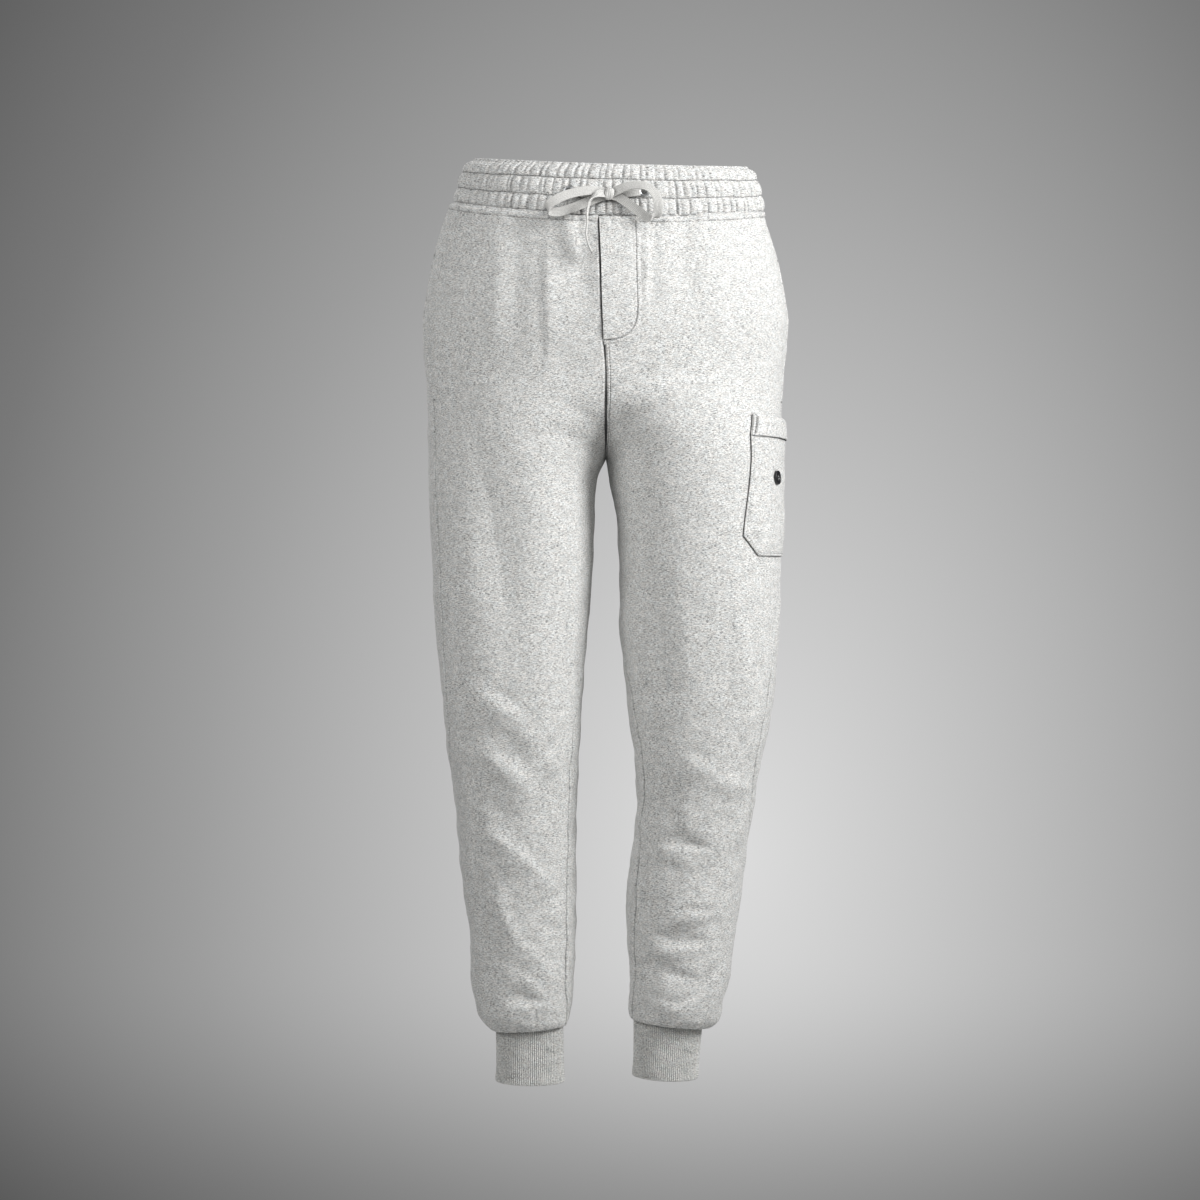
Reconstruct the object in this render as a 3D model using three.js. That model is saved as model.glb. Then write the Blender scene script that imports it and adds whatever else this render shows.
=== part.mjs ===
import * as THREE from 'three';

// Jogger sweatpants in their worn form, hollow and open at the waist and at both cuffs.
// Millimetres, +Z up, +X toward the wearer's left, the front faces -Y.
// The origin is the middle of the waistband, where the wearer's waist holds the garment.

const clothWall = 2;
const bandWall = 4;
const seamGap = 0.3;
const crotchHeight = -293;
const roundness = 0.92;

const bandGathers = 88;
const gatherDepth = 1.3;
const cuffRibs = 100;
const ribDepth = 0.5;
const cuffWall = 2.4;
const hemFade = -858;
const cuffDepth = 38.5;
const cuffSetback = 8;

const frontColumns = 16;
const backColumns = 12;
const pocketColumn = 9;
const cornerAngle = 14;

const flyWall = 1.4;
const pocketWall = 1.8;
const pocketHemWall = 2.6;
const buttonRadius = 7.5;
const buttonAngle = 60;
const buttonHeight = -316;

const tapeWidth = 10;
const tapeWall = 1.6;
const eyeletReach = 39;

const clothLook = { color: '#c9c9c7', roughness: 0.94, metalness: 0 };
const bandLook = { color: '#cdcdcb', roughness: 0.93, metalness: 0 };
const cuffLook = { color: '#c2c2c0', roughness: 0.95, metalness: 0 };
const tapeLook = { color: '#d9d8d4', roughness: 0.85, metalness: 0 };
const buttonLook = { color: '#26262a', roughness: 0.42, metalness: 0 };
const eyeletLook = { color: '#b9bbbd', roughness: 0.32, metalness: 0.9 };

// Outer and inner side of each leg, measured from the middle of the garment
const rightLeg = [
  { z: 0, outer: 163.5 }, { z: -33, outer: 176 }, { z: -76, outer: 188.6 },
  { z: -120, outer: 197.3 }, { z: -150, outer: 200.6 }, { z: -185, outer: 198.6 },
  { z: -229, outer: 195.2 }, { z: -293, outer: 194, inner: 0.15 },
  { z: -316, outer: 193.4, inner: 9.8 }, { z: -338, outer: 192.9, inner: 12 },
  { z: -403, outer: 189.3, inner: 14.2 }, { z: -447, outer: 187.4, inner: 17.4 },
  { z: -490, outer: 184.2, inner: 20.8 }, { z: -545, outer: 178.6, inner: 25.4 },
  { z: -600, outer: 173.3, inner: 28.3 }, { z: -650, outer: 166.4, inner: 31.3 },
  { z: -710, outer: 160.5, inner: 32.7 }, { z: -774, outer: 153.7, inner: 32.7 },
  { z: -818, outer: 148.2, inner: 33.2 }, { z: -861, outer: 147, inner: 35.4 },
  { z: -883, outer: 143.3, inner: 37.1 }, { z: -900, outer: 138.4, inner: 39.4 },
  { z: -912, outer: 131.5, inner: 40.4 }, { z: -921, outer: 124, inner: 41 },
];
const leftLeg = [
  { z: 0, outer: 168 }, { z: -33, outer: 173.6 }, { z: -76, outer: 186.4 },
  { z: -120, outer: 195.1 }, { z: -145, outer: 198.4 }, { z: -185, outer: 195.1 },
  { z: -229, outer: 191.8 }, { z: -293, outer: 190.6, inner: 0.15 },
  { z: -316, outer: 190.3, inner: 3.8 }, { z: -340, outer: 190.1, inner: 8.6 },
  { z: -362, outer: 190, inner: 12.2 }, { z: -447, outer: 189.6, inner: 15.3 },
  { z: -469, outer: 188.8, inner: 13.9 }, { z: -512, outer: 186.2, inner: 18.5 },
  { z: -556, outer: 182, inner: 22.9 }, { z: -589, outer: 176.2, inner: 26.2 },
  { z: -612, outer: 170.4, inner: 30.9 }, { z: -643, outer: 164.6, inner: 32.7 },
  { z: -670, outer: 161.4, inner: 34.3 }, { z: -698, outer: 157, inner: 31.1 },
  { z: -730, outer: 151.5, inner: 27.2 }, { z: -763, outer: 148.4, inner: 22.9 },
  { z: -796, outer: 143.8, inner: 22.3 }, { z: -828, outer: 139, inner: 24 },
  { z: -861, outer: 133.5, inner: 27 }, { z: -883, outer: 129.7, inner: 25.3 },
  { z: -899, outer: 126.4, inner: 25 }, { z: -912, outer: 121, inner: 24.6 },
  { z: -921, outer: 114, inner: 25 },
];

// Front, widest line and back of the garment, seen from the side
const profile = [
  { z: 0, front: -106, middle: 0, back: 106 }, { z: -40, front: -109, middle: 1, back: 112 },
  { z: -75, front: -116, middle: 3, back: 121 }, { z: -110, front: -121, middle: 5, back: 131 },
  { z: -150, front: -123, middle: 8, back: 140 }, { z: -190, front: -120, middle: 10, back: 144 },
  { z: -230, front: -116, middle: 11, back: 141 }, { z: -265, front: -113, middle: 10, back: 133 },
  { z: -293, front: -112, middle: 8, back: 123 }, { z: -330, front: -110, middle: 4, back: 112 },
  { z: -400, front: -107, middle: -3, back: 99 }, { z: -470, front: -103, middle: -8, back: 88 },
  { z: -540, front: -97, middle: -12, back: 77 }, { z: -600, front: -90, middle: -10, back: 74 },
  { z: -660, front: -79, middle: -2, back: 77 }, { z: -720, front: -69, middle: 4, back: 80 },
  { z: -780, front: -61, middle: 8, back: 77 }, { z: -840, front: -54, middle: 9, back: 69 },
  { z: -880, front: -50, middle: 9, back: 65 }, { z: -905, front: -46, middle: 8, back: 60 },
  { z: -921, front: -40, middle: 8, back: 55 },
];

// How far the two legs have grown into one round body, by the height above the crotch
const joining = [
  { up: 0, share: 0 }, { up: 3, share: 0.008 }, { up: 8, share: 0.022 }, { up: 17, share: 0.065 },
  { up: 29, share: 0.15 }, { up: 45, share: 0.32 }, { up: 68, share: 0.62 }, { up: 93, share: 0.93 },
  { up: 118, share: 1 },
];

// Where the side seam and the inside leg seam run, in degrees from the front of each leg
const rightSeams = [
  { z: 0, side: 84, inside: 90 }, { z: -120, side: 83, inside: 90 }, { z: -200, side: 75, inside: 90 },
  { z: -293, side: 62, inside: 90 }, { z: -447, side: 60, inside: 89 }, { z: -500, side: 62, inside: 80 },
  { z: -552, side: 65, inside: 71 }, { z: -595, side: 68, inside: 63 }, { z: -643, side: 82, inside: 61 },
  { z: -708, side: 89, inside: 60 }, { z: -796, side: 90, inside: 56 }, { z: -860, side: 90, inside: 57 },
  { z: -892, side: 90, inside: 68 }, { z: -921, side: 90, inside: 72 },
];
const leftSeams = [
  { z: 0, side: 87, inside: 90 }, { z: -293, side: 86, inside: 90 }, { z: -414, side: 79, inside: 90 },
  { z: -447, side: 76, inside: 89 }, { z: -490, side: 69, inside: 84 }, { z: -534, side: 63, inside: 72 },
  { z: -573, side: 61, inside: 64 }, { z: -608, side: 61, inside: 62 }, { z: -656, side: 67, inside: 61 },
  { z: -678, side: 71, inside: 68 }, { z: -720, side: 78, inside: 61 }, { z: -774, side: 83, inside: 58 },
  { z: -830, side: 86, inside: 62 }, { z: -892, side: 88, inside: 70 }, { z: -921, side: 88, inside: 73 },
];

// Front edge of the cargo pocket and the line that carries it on above and below, in degrees
const pocketFront = [
  { z: 0, at: 54 }, { z: -200, at: 46 }, { z: -248, at: 37 }, { z: -309, at: 35 },
  { z: -379, at: 27.5 }, { z: -450, at: 24 }, { z: -600, at: 14 }, { z: -921, at: 20 },
];
const pocketSpan = 67;

// Heights of the rows of every panel, and how far each is turned in toward the cuff
const rows = [
  ...[-27, -50, -75, -100, -125, -150, -174, -200, -225, -248, -264, -276, -285, -290, -293],
  ...[-301, -316, -345, -379, -400, -430, -465, -500, -530, -560, -590, -620, -650, -680],
  ...[-710, -740, -775, -810, -840, -865, -885],
].map((z) => ({ z, tuck: 0 }));
rows.push({ z: -893.5, tuck: 0 }, { z: -904.5, tuck: 0.06 }, { z: -913, tuck: 0.5 }, { z: -911, tuck: 1 });
rows.forEach((row, index) => { row.index = index; });

// The largest folds: a ridge is positive, a trough negative; x counts on front and back faces
const folds = [
  { face: 'front', x1: -116, z1: -40, x2: -116, z2: -168, wide: 15, high: 3.5 },
  { face: 'front', x1: -88, z1: -45, x2: -101, z2: -165, wide: 13, high: -3 },
  { face: 'front', x1: -60, z1: -48, x2: -61, z2: -182, wide: 13, high: 3.2 },
  { face: 'front', x1: -28, z1: -50, x2: -28, z2: -132, wide: 12, high: -2.4 },
  { face: 'front', x1: 85, z1: -40, x2: 79, z2: -132, wide: 15, high: -3 },
  { face: 'front', x1: 116, z1: -40, x2: 118, z2: -140, wide: 16, high: 2.5 },
  { face: 'front', x1: 13, z1: -222, x2: 57, z2: -198, wide: 9, high: -2.6 },
  { face: 'front', x1: 17, z1: -236, x2: 72, z2: -219, wide: 9, high: 3.4 },
  { face: 'front', x1: 4, z1: -251, x2: 55, z2: -238, wide: 9, high: -3 },
  { face: 'front', x1: -65, z1: -234, x2: -30, z2: -490, wide: 24, high: 3.5 },
  { face: 'front', x1: -134, z1: -256, x2: -86, z2: -479, wide: 24, high: -4 },
  { face: 'front', x1: -70, z1: -463, x2: -70, z2: -580, wide: 13, high: 3 },
  { face: 'front', x1: -147, z1: -541, x2: -76, z2: -594, wide: 14, high: 5 },
  { face: 'front', x1: -113, z1: -590, x2: -79, z2: -636, wide: 13, high: -5 },
  { face: 'front', x1: -143, z1: -609, x2: -84, z2: -647, wide: 12, high: 5 },
  { face: 'front', x1: -134, z1: -655, x2: -92, z2: -697, wide: 14, high: -4 },
  { face: 'front', x1: -129, z1: -694, x2: -65, z2: -753, wide: 14, high: 5 },
  { face: 'front', x1: -113, z1: -755, x2: -92, z2: -819, wide: 13, high: 5 },
  { face: 'front', x1: -92, z1: -819, x2: -53, z2: -866, wide: 13, high: 5 },
  { face: 'front', x1: -136, z1: -755, x2: -107, z2: -856, wide: 14, high: -5 },
  { face: 'front', x1: -121, z1: -872, x2: -81, z2: -876, wide: 11, high: -4 },
  { face: 'front', x1: 134, z1: -415, x2: 149, z2: -604, wide: 12, high: 3 },
  { face: 'front', x1: 52, z1: -426, x2: 57, z2: -596, wide: 18, high: -4 },
  { face: 'front', x1: 85, z1: -619, x2: 125, z2: -628, wide: 11, high: 4 },
  { face: 'front', x1: 120, z1: -626, x2: 152, z2: -652, wide: 11, high: 5 },
  { face: 'front', x1: 81, z1: -640, x2: 63, z2: -683, wide: 13, high: -5 },
  { face: 'front', x1: 62, z1: -696, x2: 102, z2: -713, wide: 10, high: -4 },
  { face: 'front', x1: 36, z1: -732, x2: 89, z2: -738, wide: 11, high: -4 },
  { face: 'front', x1: 123, z1: -758, x2: 70, z2: -792, wide: 14, high: 5 },
  { face: 'front', x1: 55, z1: -808, x2: 102, z2: -812, wide: 11, high: -4 },
  { face: 'front', x1: 34, z1: -840, x2: 98, z2: -856, wide: 12, high: -4 },
  { face: 'front', x1: 63, z1: -883, x2: 105, z2: -872, wide: 12, high: 4 },
  { face: 'front', x1: 105, z1: -872, x2: 135, z2: -830, wide: 12, high: 4 },
  { face: 'back', x1: -110, z1: -40, x2: -95, z2: -150, wide: 17, high: 3 },
  { face: 'back', x1: -48, z1: -40, x2: -52, z2: -130, wide: 15, high: 2.6 },
  { face: 'back', x1: 52, z1: -42, x2: 44, z2: -140, wide: 15, high: 2.8 },
  { face: 'back', x1: 108, z1: -42, x2: 100, z2: -135, wide: 17, high: 3 },
  { face: 'back', x1: -24, z1: -308, x2: -130, z2: -352, wide: 18, high: -5 },
  { face: 'back', x1: 26, z1: -304, x2: 128, z2: -344, wide: 18, high: -5 },
  { face: 'back', x1: -50, z1: -545, x2: -140, z2: -562, wide: 14, high: -5 },
  { face: 'back', x1: -60, z1: -590, x2: -136, z2: -580, wide: 13, high: 4 },
  { face: 'back', x1: 55, z1: -552, x2: 146, z2: -540, wide: 14, high: -5 },
  { face: 'back', x1: 62, z1: -582, x2: 132, z2: -592, wide: 13, high: 4 },
  { face: 'back', x1: -60, z1: -700, x2: -128, z2: -726, wide: 15, high: -4 },
  { face: 'back', x1: 52, z1: -712, x2: 122, z2: -694, wide: 15, high: -4 },
  { face: 'back', x1: -52, z1: -792, x2: -122, z2: -806, wide: 14, high: -5 },
  { face: 'back', x1: 44, z1: -800, x2: 112, z2: -786, wide: 14, high: -5 },
  { face: 'back', x1: -56, z1: -836, x2: -118, z2: -826, wide: 13, high: 4 },
  { face: 'back', x1: 42, z1: -834, x2: 108, z2: -842, wide: 13, high: 4 },
  { face: 'back', x1: -60, z1: -872, x2: -116, z2: -880, wide: 11, high: -4 },
  { face: 'back', x1: 46, z1: -876, x2: 104, z2: -868, wide: 11, high: -4 },
];

// Waistband from its lower edge (0) to its upper edge (1), with two seams that part three channels
const band = [
  { up: 0, wide: 169, deep: 107.5, shift: 3, puff: 0, gather: 0.45 },
  { up: 0.18, wide: 167.6, deep: 107, shift: 3.6, puff: 1.3, gather: 1 },
  { up: 0.36, wide: 165.8, deep: 106, shift: 4, puff: -0.7, gather: 0.3 },
  { up: 0.54, wide: 163.8, deep: 104.6, shift: 4, puff: 1.3, gather: 1 },
  { up: 0.72, wide: 160.8, deep: 102.4, shift: 4, puff: -0.7, gather: 0.3 },
  { up: 0.88, wide: 157.2, deep: 99.6, shift: 4.4, puff: 1.2, gather: 1 },
  { up: 1, wide: 151.6, deep: 96, shift: 5.4, puff: 0, gather: 0.6 },
];

// The hem of each leg is raised by lift in all, and lower by tilt on the outside than in the middle
const cuffs = {
  right: { topX: -83.2, topWide: 36.3, endX: -83.2, endWide: 36.3, top: -899, end: -972.5, lift: 0, tilt: 3 },
  left: { topX: 68.4, topWide: 37.8, endX: 64.6, endWide: 34.6, top: -893, end: -967.5, lift: 5, tilt: 5 },
};

// Course of the bow's tape: place of its middle, and the direction of its width
const leftLoopRoute = [
  { x: -4, y: -114.5, z: -16.5, wx: 0, wy: 0.1, wz: 1 },
  { x: -17, y: -119, z: -15.5, wx: -0.1, wy: 0.1, wz: 1 },
  { x: -38, y: -122.5, z: -19.5, wx: -0.3, wy: 0.1, wz: 0.95 },
  { x: -54, y: -124, z: -26.5, wx: -0.4, wy: 0.1, wz: 0.9 },
  { x: -61.5, y: -122, z: -32.5, wx: -0.45, wy: 0, wz: 0.9 },
  { x: -60, y: -118.5, z: -37, wx: -0.45, wy: 0, wz: 0.9 },
  { x: -51, y: -116.5, z: -38, wx: -0.4, wy: 0, wz: 0.9 },
  { x: -36, y: -115, z: -33.5, wx: -0.4, wy: 0, wz: 0.9 },
  { x: -20, y: -113, z: -27, wx: -0.35, wy: 0, wz: 0.95 },
  { x: -4, y: -110.8, z: -20.5, wx: -0.2, wy: 0, wz: 1 },
];
const rightLoopRoute = [
  { x: 10.4, y: -114.5, z: -15.5, wx: -0.2, wy: 0.2, wz: 1 },
  { x: 20, y: -118, z: -11.5, wx: -0.3, wy: 0.3, wz: 0.9 },
  { x: 33, y: -121.5, z: -10, wx: 0.1, wy: 0.4, wz: 0.9 },
  { x: 45, y: -125, z: -13.5, wx: 0.6, wy: 0.4, wz: 0.65 },
  { x: 52.5, y: -127, z: -22, wx: 0.95, wy: 0.2, wz: 0.25 },
  { x: 55, y: -127, z: -33, wx: 1, wy: 0.1, wz: 0.05 },
  { x: 53, y: -124, z: -42, wx: 0.95, wy: 0, wz: 0.2 },
  { x: 46, y: -119.5, z: -45, wx: 0.8, wy: 0, wz: 0.55 },
  { x: 36, y: -116, z: -38.5, wx: 0.65, wy: 0, wz: 0.75 },
  { x: 23, y: -113, z: -28.5, wx: 0.6, wy: 0, wz: 0.8 },
  { x: 10.4, y: -110.8, z: -20.5, wx: 0.4, wy: 0, wz: 0.9 },
];
const freeEndRoute = [
  { x: -2.9, y: -118.7, z: -18.8, wx: -0.35, wy: 0.35, wz: 0.87 },
  { x: -9, y: -123.5, z: -20.5, wx: -0.1, wy: 0.7, wz: 0.6 },
  { x: -16.5, y: -127, z: -27, wx: 0.2, wy: 1, wz: 0.2 },
  { x: -19.5, y: -127, z: -37.5, wx: 0.1, wy: 1, wz: 0 },
  { x: -20, y: -127, z: -51, wx: 0, wy: 1, wz: 0 },
  { x: -21, y: -127.5, z: -62, wx: 0, wy: 1, wz: 0 },
  { x: -19, y: -128, z: -72.5, wx: 0, wy: 1, wz: 0 },
  { x: -15, y: -128.5, z: -82, wx: 0, wy: 1, wz: 0 },
];
const knotPlace = { x: 3.2, y: -114.6, z: -18.5, wide: 6.6, deep: 6.6, tall: 7 };

const toRadians = Math.PI / 180;

function blend(from, to, share) {
  return from + (to - from) * share;
}

function smoothStep(low, high, value) {
  const share = Math.min(1, Math.max(0, (value - low) / (high - low)));
  return share * share * (3 - 2 * share);
}

function signedPower(value, power) {
  return Math.sign(value) * Math.abs(value) ** power;
}

// Reads a column of a table between its rows, along a smooth curve that never overshoots
function readTable(table, along, column, at) {
  const list = table.filter((row) => row[column] !== undefined);
  const up = list[list.length - 1][along] > list[0][along];
  const rowsUp = up ? list : [...list].reverse();
  const last = rowsUp.length - 1;
  if (at <= rowsUp[0][along]) return rowsUp[0][column];
  if (at >= rowsUp[last][along]) return rowsUp[last][column];
  let k = 0;
  while (at > rowsUp[k + 1][along]) k += 1;
  const slope = (i) => (rowsUp[i + 1][column] - rowsUp[i][column]) / (rowsUp[i + 1][along] - rowsUp[i][along]);
  const tangent = (i) => {
    if (i === 0) return slope(0);
    if (i === last) return slope(last - 1);
    const before = slope(i - 1);
    const after = slope(i);
    return before * after <= 0 ? 0 : (2 * before * after) / (before + after);
  };
  const step = rowsUp[k + 1][along] - rowsUp[k][along];
  const t = (at - rowsUp[k][along]) / step;
  const rise = rowsUp[k + 1][column] - rowsUp[k][column];
  const start = tangent(k) * step;
  const end = tangent(k + 1) * step;
  return rowsUp[k][column] + start * t + (3 * rise - 2 * start - end) * t * t
    + (start + end - 2 * rise) * t * t * t;
}

// Height of the waistband's middle and half its height, round the body (0 is the front)
function bandMiddle(turn) {
  return 1.9 - 12.75 * Math.cos(turn) - 2.6 * Math.cos(2 * turn) - 4.5 * Math.sin(turn);
}

function bandHalfHeight(turn) {
  return 24.6 + 1.6 * Math.cos(turn) + 1.3 * Math.cos(2 * turn);
}

// Half width, half depths and middle of one leg's section at a height
function legSection(leg, z) {
  const outer = readTable(leg.table, 'z', 'outer', z);
  const inner = z > crotchHeight
    ? -outer * readTable(joining, 'up', 'share', z - crotchHeight)
    : readTable(leg.table, 'z', 'inner', z);
  const middle = readTable(profile, 'z', 'middle', z);
  return {
    x: leg.sign * (outer + inner) / 2,
    wide: (outer - inner) / 2,
    y: middle,
    front: middle - readTable(profile, 'z', 'front', z),
    back: readTable(profile, 'z', 'back', z) - middle,
  };
}

function cuffSection(leg, z) {
  const down = (leg.cuff.top - z) / (leg.cuff.top - leg.cuff.end);
  const wide = blend(leg.cuff.topWide, leg.cuff.endWide, down);
  return { x: blend(leg.cuff.topX, leg.cuff.endX, down), wide, y: cuffSetback };
}

// Height of a fold at a place on the cloth
function foldHeight(x, z, frontness) {
  let sum = 0;
  for (const fold of folds) {
    const facing = fold.face === 'front' ? frontness : -frontness;
    const weight = smoothStep(-0.05, 0.4, facing);
    const runX = fold.x2 - fold.x1;
    const runZ = fold.z2 - fold.z1;
    const length = Math.hypot(runX, runZ);
    const t = ((x - fold.x1) * runX + (z - fold.z1) * runZ) / (length * length);
    const near = Math.min(1, Math.max(0, t));
    const away = Math.hypot(x - fold.x1 - near * runX, z - fold.z1 - near * runZ) / (1.7 * fold.wide);
    if (away < 1 && weight > 0) {
      const ends = smoothStep(-0.15, 0.3, t) * smoothStep(-0.15, 0.3, 1 - t);
      sum += weight * ends * fold.high * (0.5 + 0.5 * Math.cos(Math.PI * away));
    }
  }
  return sum;
}

// A point of the outer surface of a leg: the angle is measured from the front toward the outside
function surfacePoint(leg, angle, row) {
  const low = Math.min(rows.length - 2, Math.max(0, Math.floor(row)));
  const part = row - low;
  const nominal = blend(rows[low].z, rows[low + 1].z, part);
  const tuck = Math.max(0, blend(rows[low].tuck, rows[low + 1].tuck, part));
  const turn = leg.sign * angle;
  const hang = bandMiddle(turn) - bandHalfHeight(turn) - seamGap - rows[0].z;
  const hem = leg.cuff.lift - leg.cuff.tilt * Math.sin(angle);
  const z = nominal + hang * smoothStep(-150, rows[0].z, nominal) + hem * smoothStep(hemFade, -893.5, nominal);
  const section = legSection(leg, z);
  const across = signedPower(Math.sin(angle), roundness);
  const ahead = signedPower(Math.cos(angle), roundness);
  let x = section.x + leg.sign * section.wide * across;
  let y = section.y - (ahead > 0 ? section.front : section.back) * ahead;
  const lift = foldHeight(x, z, ahead) * (1 - tuck);
  x += leg.sign * lift * Math.sin(angle);
  y -= lift * Math.cos(angle);
  if (tuck > 0) {
    const cuff = cuffSection(leg, z);
    const spread = cuff.wide + ribDepth + seamGap + 0.7;
    const depth = cuffDepth + ribDepth + seamGap + 0.7;
    x = blend(x, cuff.x + leg.sign * spread * Math.sin(angle), tuck);
    y = blend(y, cuff.y - depth * Math.cos(angle), tuck);
  }
  return new THREE.Vector3(x, y, z);
}

function surfaceNormal(leg, angle, row) {
  const turnStep = 0.03;
  const top = Math.max(0, row - 0.4);
  const bottom = Math.min(rows.length - 1, row + 0.4);
  const along = surfacePoint(leg, angle + turnStep, row).sub(surfacePoint(leg, angle - turnStep, row));
  const down = surfacePoint(leg, angle, bottom).sub(surfacePoint(leg, angle, top));
  return down.cross(along).multiplyScalar(leg.sign).normalize();
}

// Angle at which a leg's section meets the middle plane, or its inside seam below the crotch
function innerAngle(leg, row) {
  const z = rows[row].z;
  if (z <= crotchHeight) return readTable(leg.seams, 'z', 'inside', z) * toRadians;
  const section = legSection(leg, z);
  const share = (Math.abs(section.x) - seamGap / 2) / section.wide;
  return Math.asin(Math.sign(share) * Math.min(1, Math.abs(share) ** (1 / roundness)));
}

function columnAngles(leg, row, face) {
  const z = rows[row].z;
  const seam = readTable(leg.seams, 'z', 'side', z) * toRadians;
  const inner = innerAngle(leg, row);
  const section = legSection(leg, z);
  const slack = (seamGap / 2) * (1 + 13 * rows[row].tuck) / section.wide;
  const inset = z <= crotchHeight ? slack : 0;
  if (face === 'front') {
    const mark = Math.min(readTable(pocketFront, 'z', 'at', z) * toRadians, seam - 0.5);
    const corner = mark + cornerAngle * toRadians;
    const list = [];
    for (let c = 0; c < frontColumns; c += 1) {
      if (c <= pocketColumn) list.push(blend(-inner + inset, mark, c / pocketColumn));
      else list.push(blend(corner, seam - slack, (c - pocketColumn - 1) / (frontColumns - pocketColumn - 2)));
    }
    return list;
  }
  const pocketBack = (readTable(pocketFront, 'z', 'at', z) + pocketSpan) * toRadians;
  const mark = Math.max(pocketBack, seam + cornerAngle * toRadians);
  const list = [seam + slack];
  for (let c = 1; c < backColumns; c += 1) {
    list.push(blend(mark, Math.PI + (z > crotchHeight ? inner : Math.PI - inner) - inset, (c - 1) / (backColumns - 2)));
  }
  return list;
}

// Outer points and normals of a panel, a row at a time from the waist to the cuff
function panelGrid(leg, face) {
  return rows.map((row, r) => columnAngles(leg, r, face).map((angle) => ({
    point: surfacePoint(leg, angle, r),
    normal: surfaceNormal(leg, angle, r),
  })));
}

function meshFrom(name, points, triangles, look) {
  let volume = 0;
  for (const [a, b, c] of triangles) {
    volume += points[a].dot(new THREE.Vector3().crossVectors(points[b], points[c]));
  }
  const index = triangles.flatMap(([a, b, c]) => (volume > 0 ? [a, b, c] : [a, c, b]));
  const geometry = new THREE.BufferGeometry();
  geometry.setAttribute('position', new THREE.Float32BufferAttribute(points.flatMap((p) => [p.x, p.y, p.z]), 3));
  geometry.setIndex(index);
  geometry.computeVertexNormals();
  const mesh = new THREE.Mesh(geometry, new THREE.MeshStandardMaterial(look));
  mesh.name = name;
  return mesh;
}

// A closed wall from a set of triangles, between two surfaces that lie off its points
function closedWall(name, outer, inner, faces, look) {
  const count = outer.length;
  const triangles = [];
  const edges = new Map();
  for (const [a, b, c] of faces) {
    triangles.push([a, b, c], [a + count, c + count, b + count]);
    for (const [from, to] of [[a, b], [b, c], [c, a]]) edges.set(`${from},${to}`, [from, to]);
  }
  for (const [from, to] of edges.values()) {
    if (!edges.has(`${to},${from}`)) {
      triangles.push([from, to + count, to], [from, from + count, to + count]);
    }
  }
  const used = [...new Set(triangles.flat())].sort((p, q) => p - q);
  const place = new Map(used.map((v, i) => [v, i]));
  const all = [...outer, ...inner];
  return meshFrom(name, used.map((v) => all[v]), triangles.map((t) => t.map((v) => place.get(v))), look);
}

// Triangles of a grid; the cells lean one way or the other so that a corner can be cut off
function gridFaces(rowFrom, rowTo, columnFrom, columnTo, width, lean) {
  const faces = [];
  for (let r = rowFrom; r < rowTo; r += 1) {
    for (let c = columnFrom; c < columnTo; c += 1) {
      const a = r * width + c;
      const b = a + 1;
      const d = a + width;
      const e = d + 1;
      if (lean(r, c) === 'falling') faces.push([a, d, e], [a, e, b]);
      else faces.push([a, d, b], [b, d, e]);
    }
  }
  return faces;
}

const frontLean = () => 'falling';
const backLean = () => 'rising';

function offPoint(cell, distance) {
  return cell.point.clone().addScaledVector(cell.normal, distance);
}

function makePanel(name, leg, face) {
  const grid = panelGrid(leg, face);
  const width = grid[0].length;
  const middleColumn = face === 'front' ? 0 : width - 1;
  const outer = grid.flat().map((cell) => cell.point);
  const inner = grid.flatMap((cells, r) => cells.map((cell, c) => {
    const point = offPoint(cell, -clothWall);
    if (c === middleColumn && rows[r].z > crotchHeight) {
      point.x = leg.sign * Math.max(leg.sign * point.x, seamGap / 2);
    }
    return point;
  }));
  const faces = gridFaces(0, grid.length - 1, 0, width - 1, width, face === 'front' ? frontLean : backLean);
  return { grid, width, mesh: closedWall(name, outer, inner, faces, clothLook) };
}

// A layer that lies on a panel: the panel's own points, moved out
function layerOn(name, cells, faces, low, high, look) {
  const outer = cells.map((cell) => offPoint(cell, high(cell)));
  const inner = cells.map((cell) => offPoint(cell, low));
  return closedWall(name, outer, inner, faces, look);
}

const rowAt = (z) => rows.findIndex((row) => row.z === z);

// Mock fly: a facing laid on the left front beside the centre seam, with a curved lower end
function makeFly(panel) {
  const faces = gridFaces(0, rowAt(-150), 0, 2, panel.width, frontLean);
  const a = rowAt(-150) * panel.width;
  const b = a + panel.width;
  faces.push([a, b, b + 1], [a, b + 1, a + 1], [a + 1, b + 1, a + 2]);
  return layerOn('fly_placket', panel.grid.flat(), faces, seamGap, () => seamGap + flyWall, clothLook);
}

// Cells under the cargo pocket: the front panel's outer columns and the first cell of the back panel
function pocketCells(front, back) {
  return front.grid.map((cells, r) => [...cells.slice(pocketColumn), back.grid[r][1]]);
}

function makeCargoPocket(front, back) {
  const cells = pocketCells(front, back);
  const width = cells[0].length;
  const top = rowAt(-248);
  const low = rowAt(-379);
  const faces = gridFaces(top, low, 0, width - 1, width, frontLean);
  for (let c = 0; c < width - 1; c += 1) {
    const a = low * width + c;
    const b = a + width;
    if (c === 0) faces.push([a, b + 1, a + 1]);
    else if (c === width - 2) faces.push([a, b, a + 1]);
    else faces.push([a, b, b + 1], [a, b + 1, a + 1]);
  }
  return layerOn('cargo_pocket', cells.flat(), faces, 0.5, () => 0.5 + pocketWall, clothLook);
}

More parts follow.
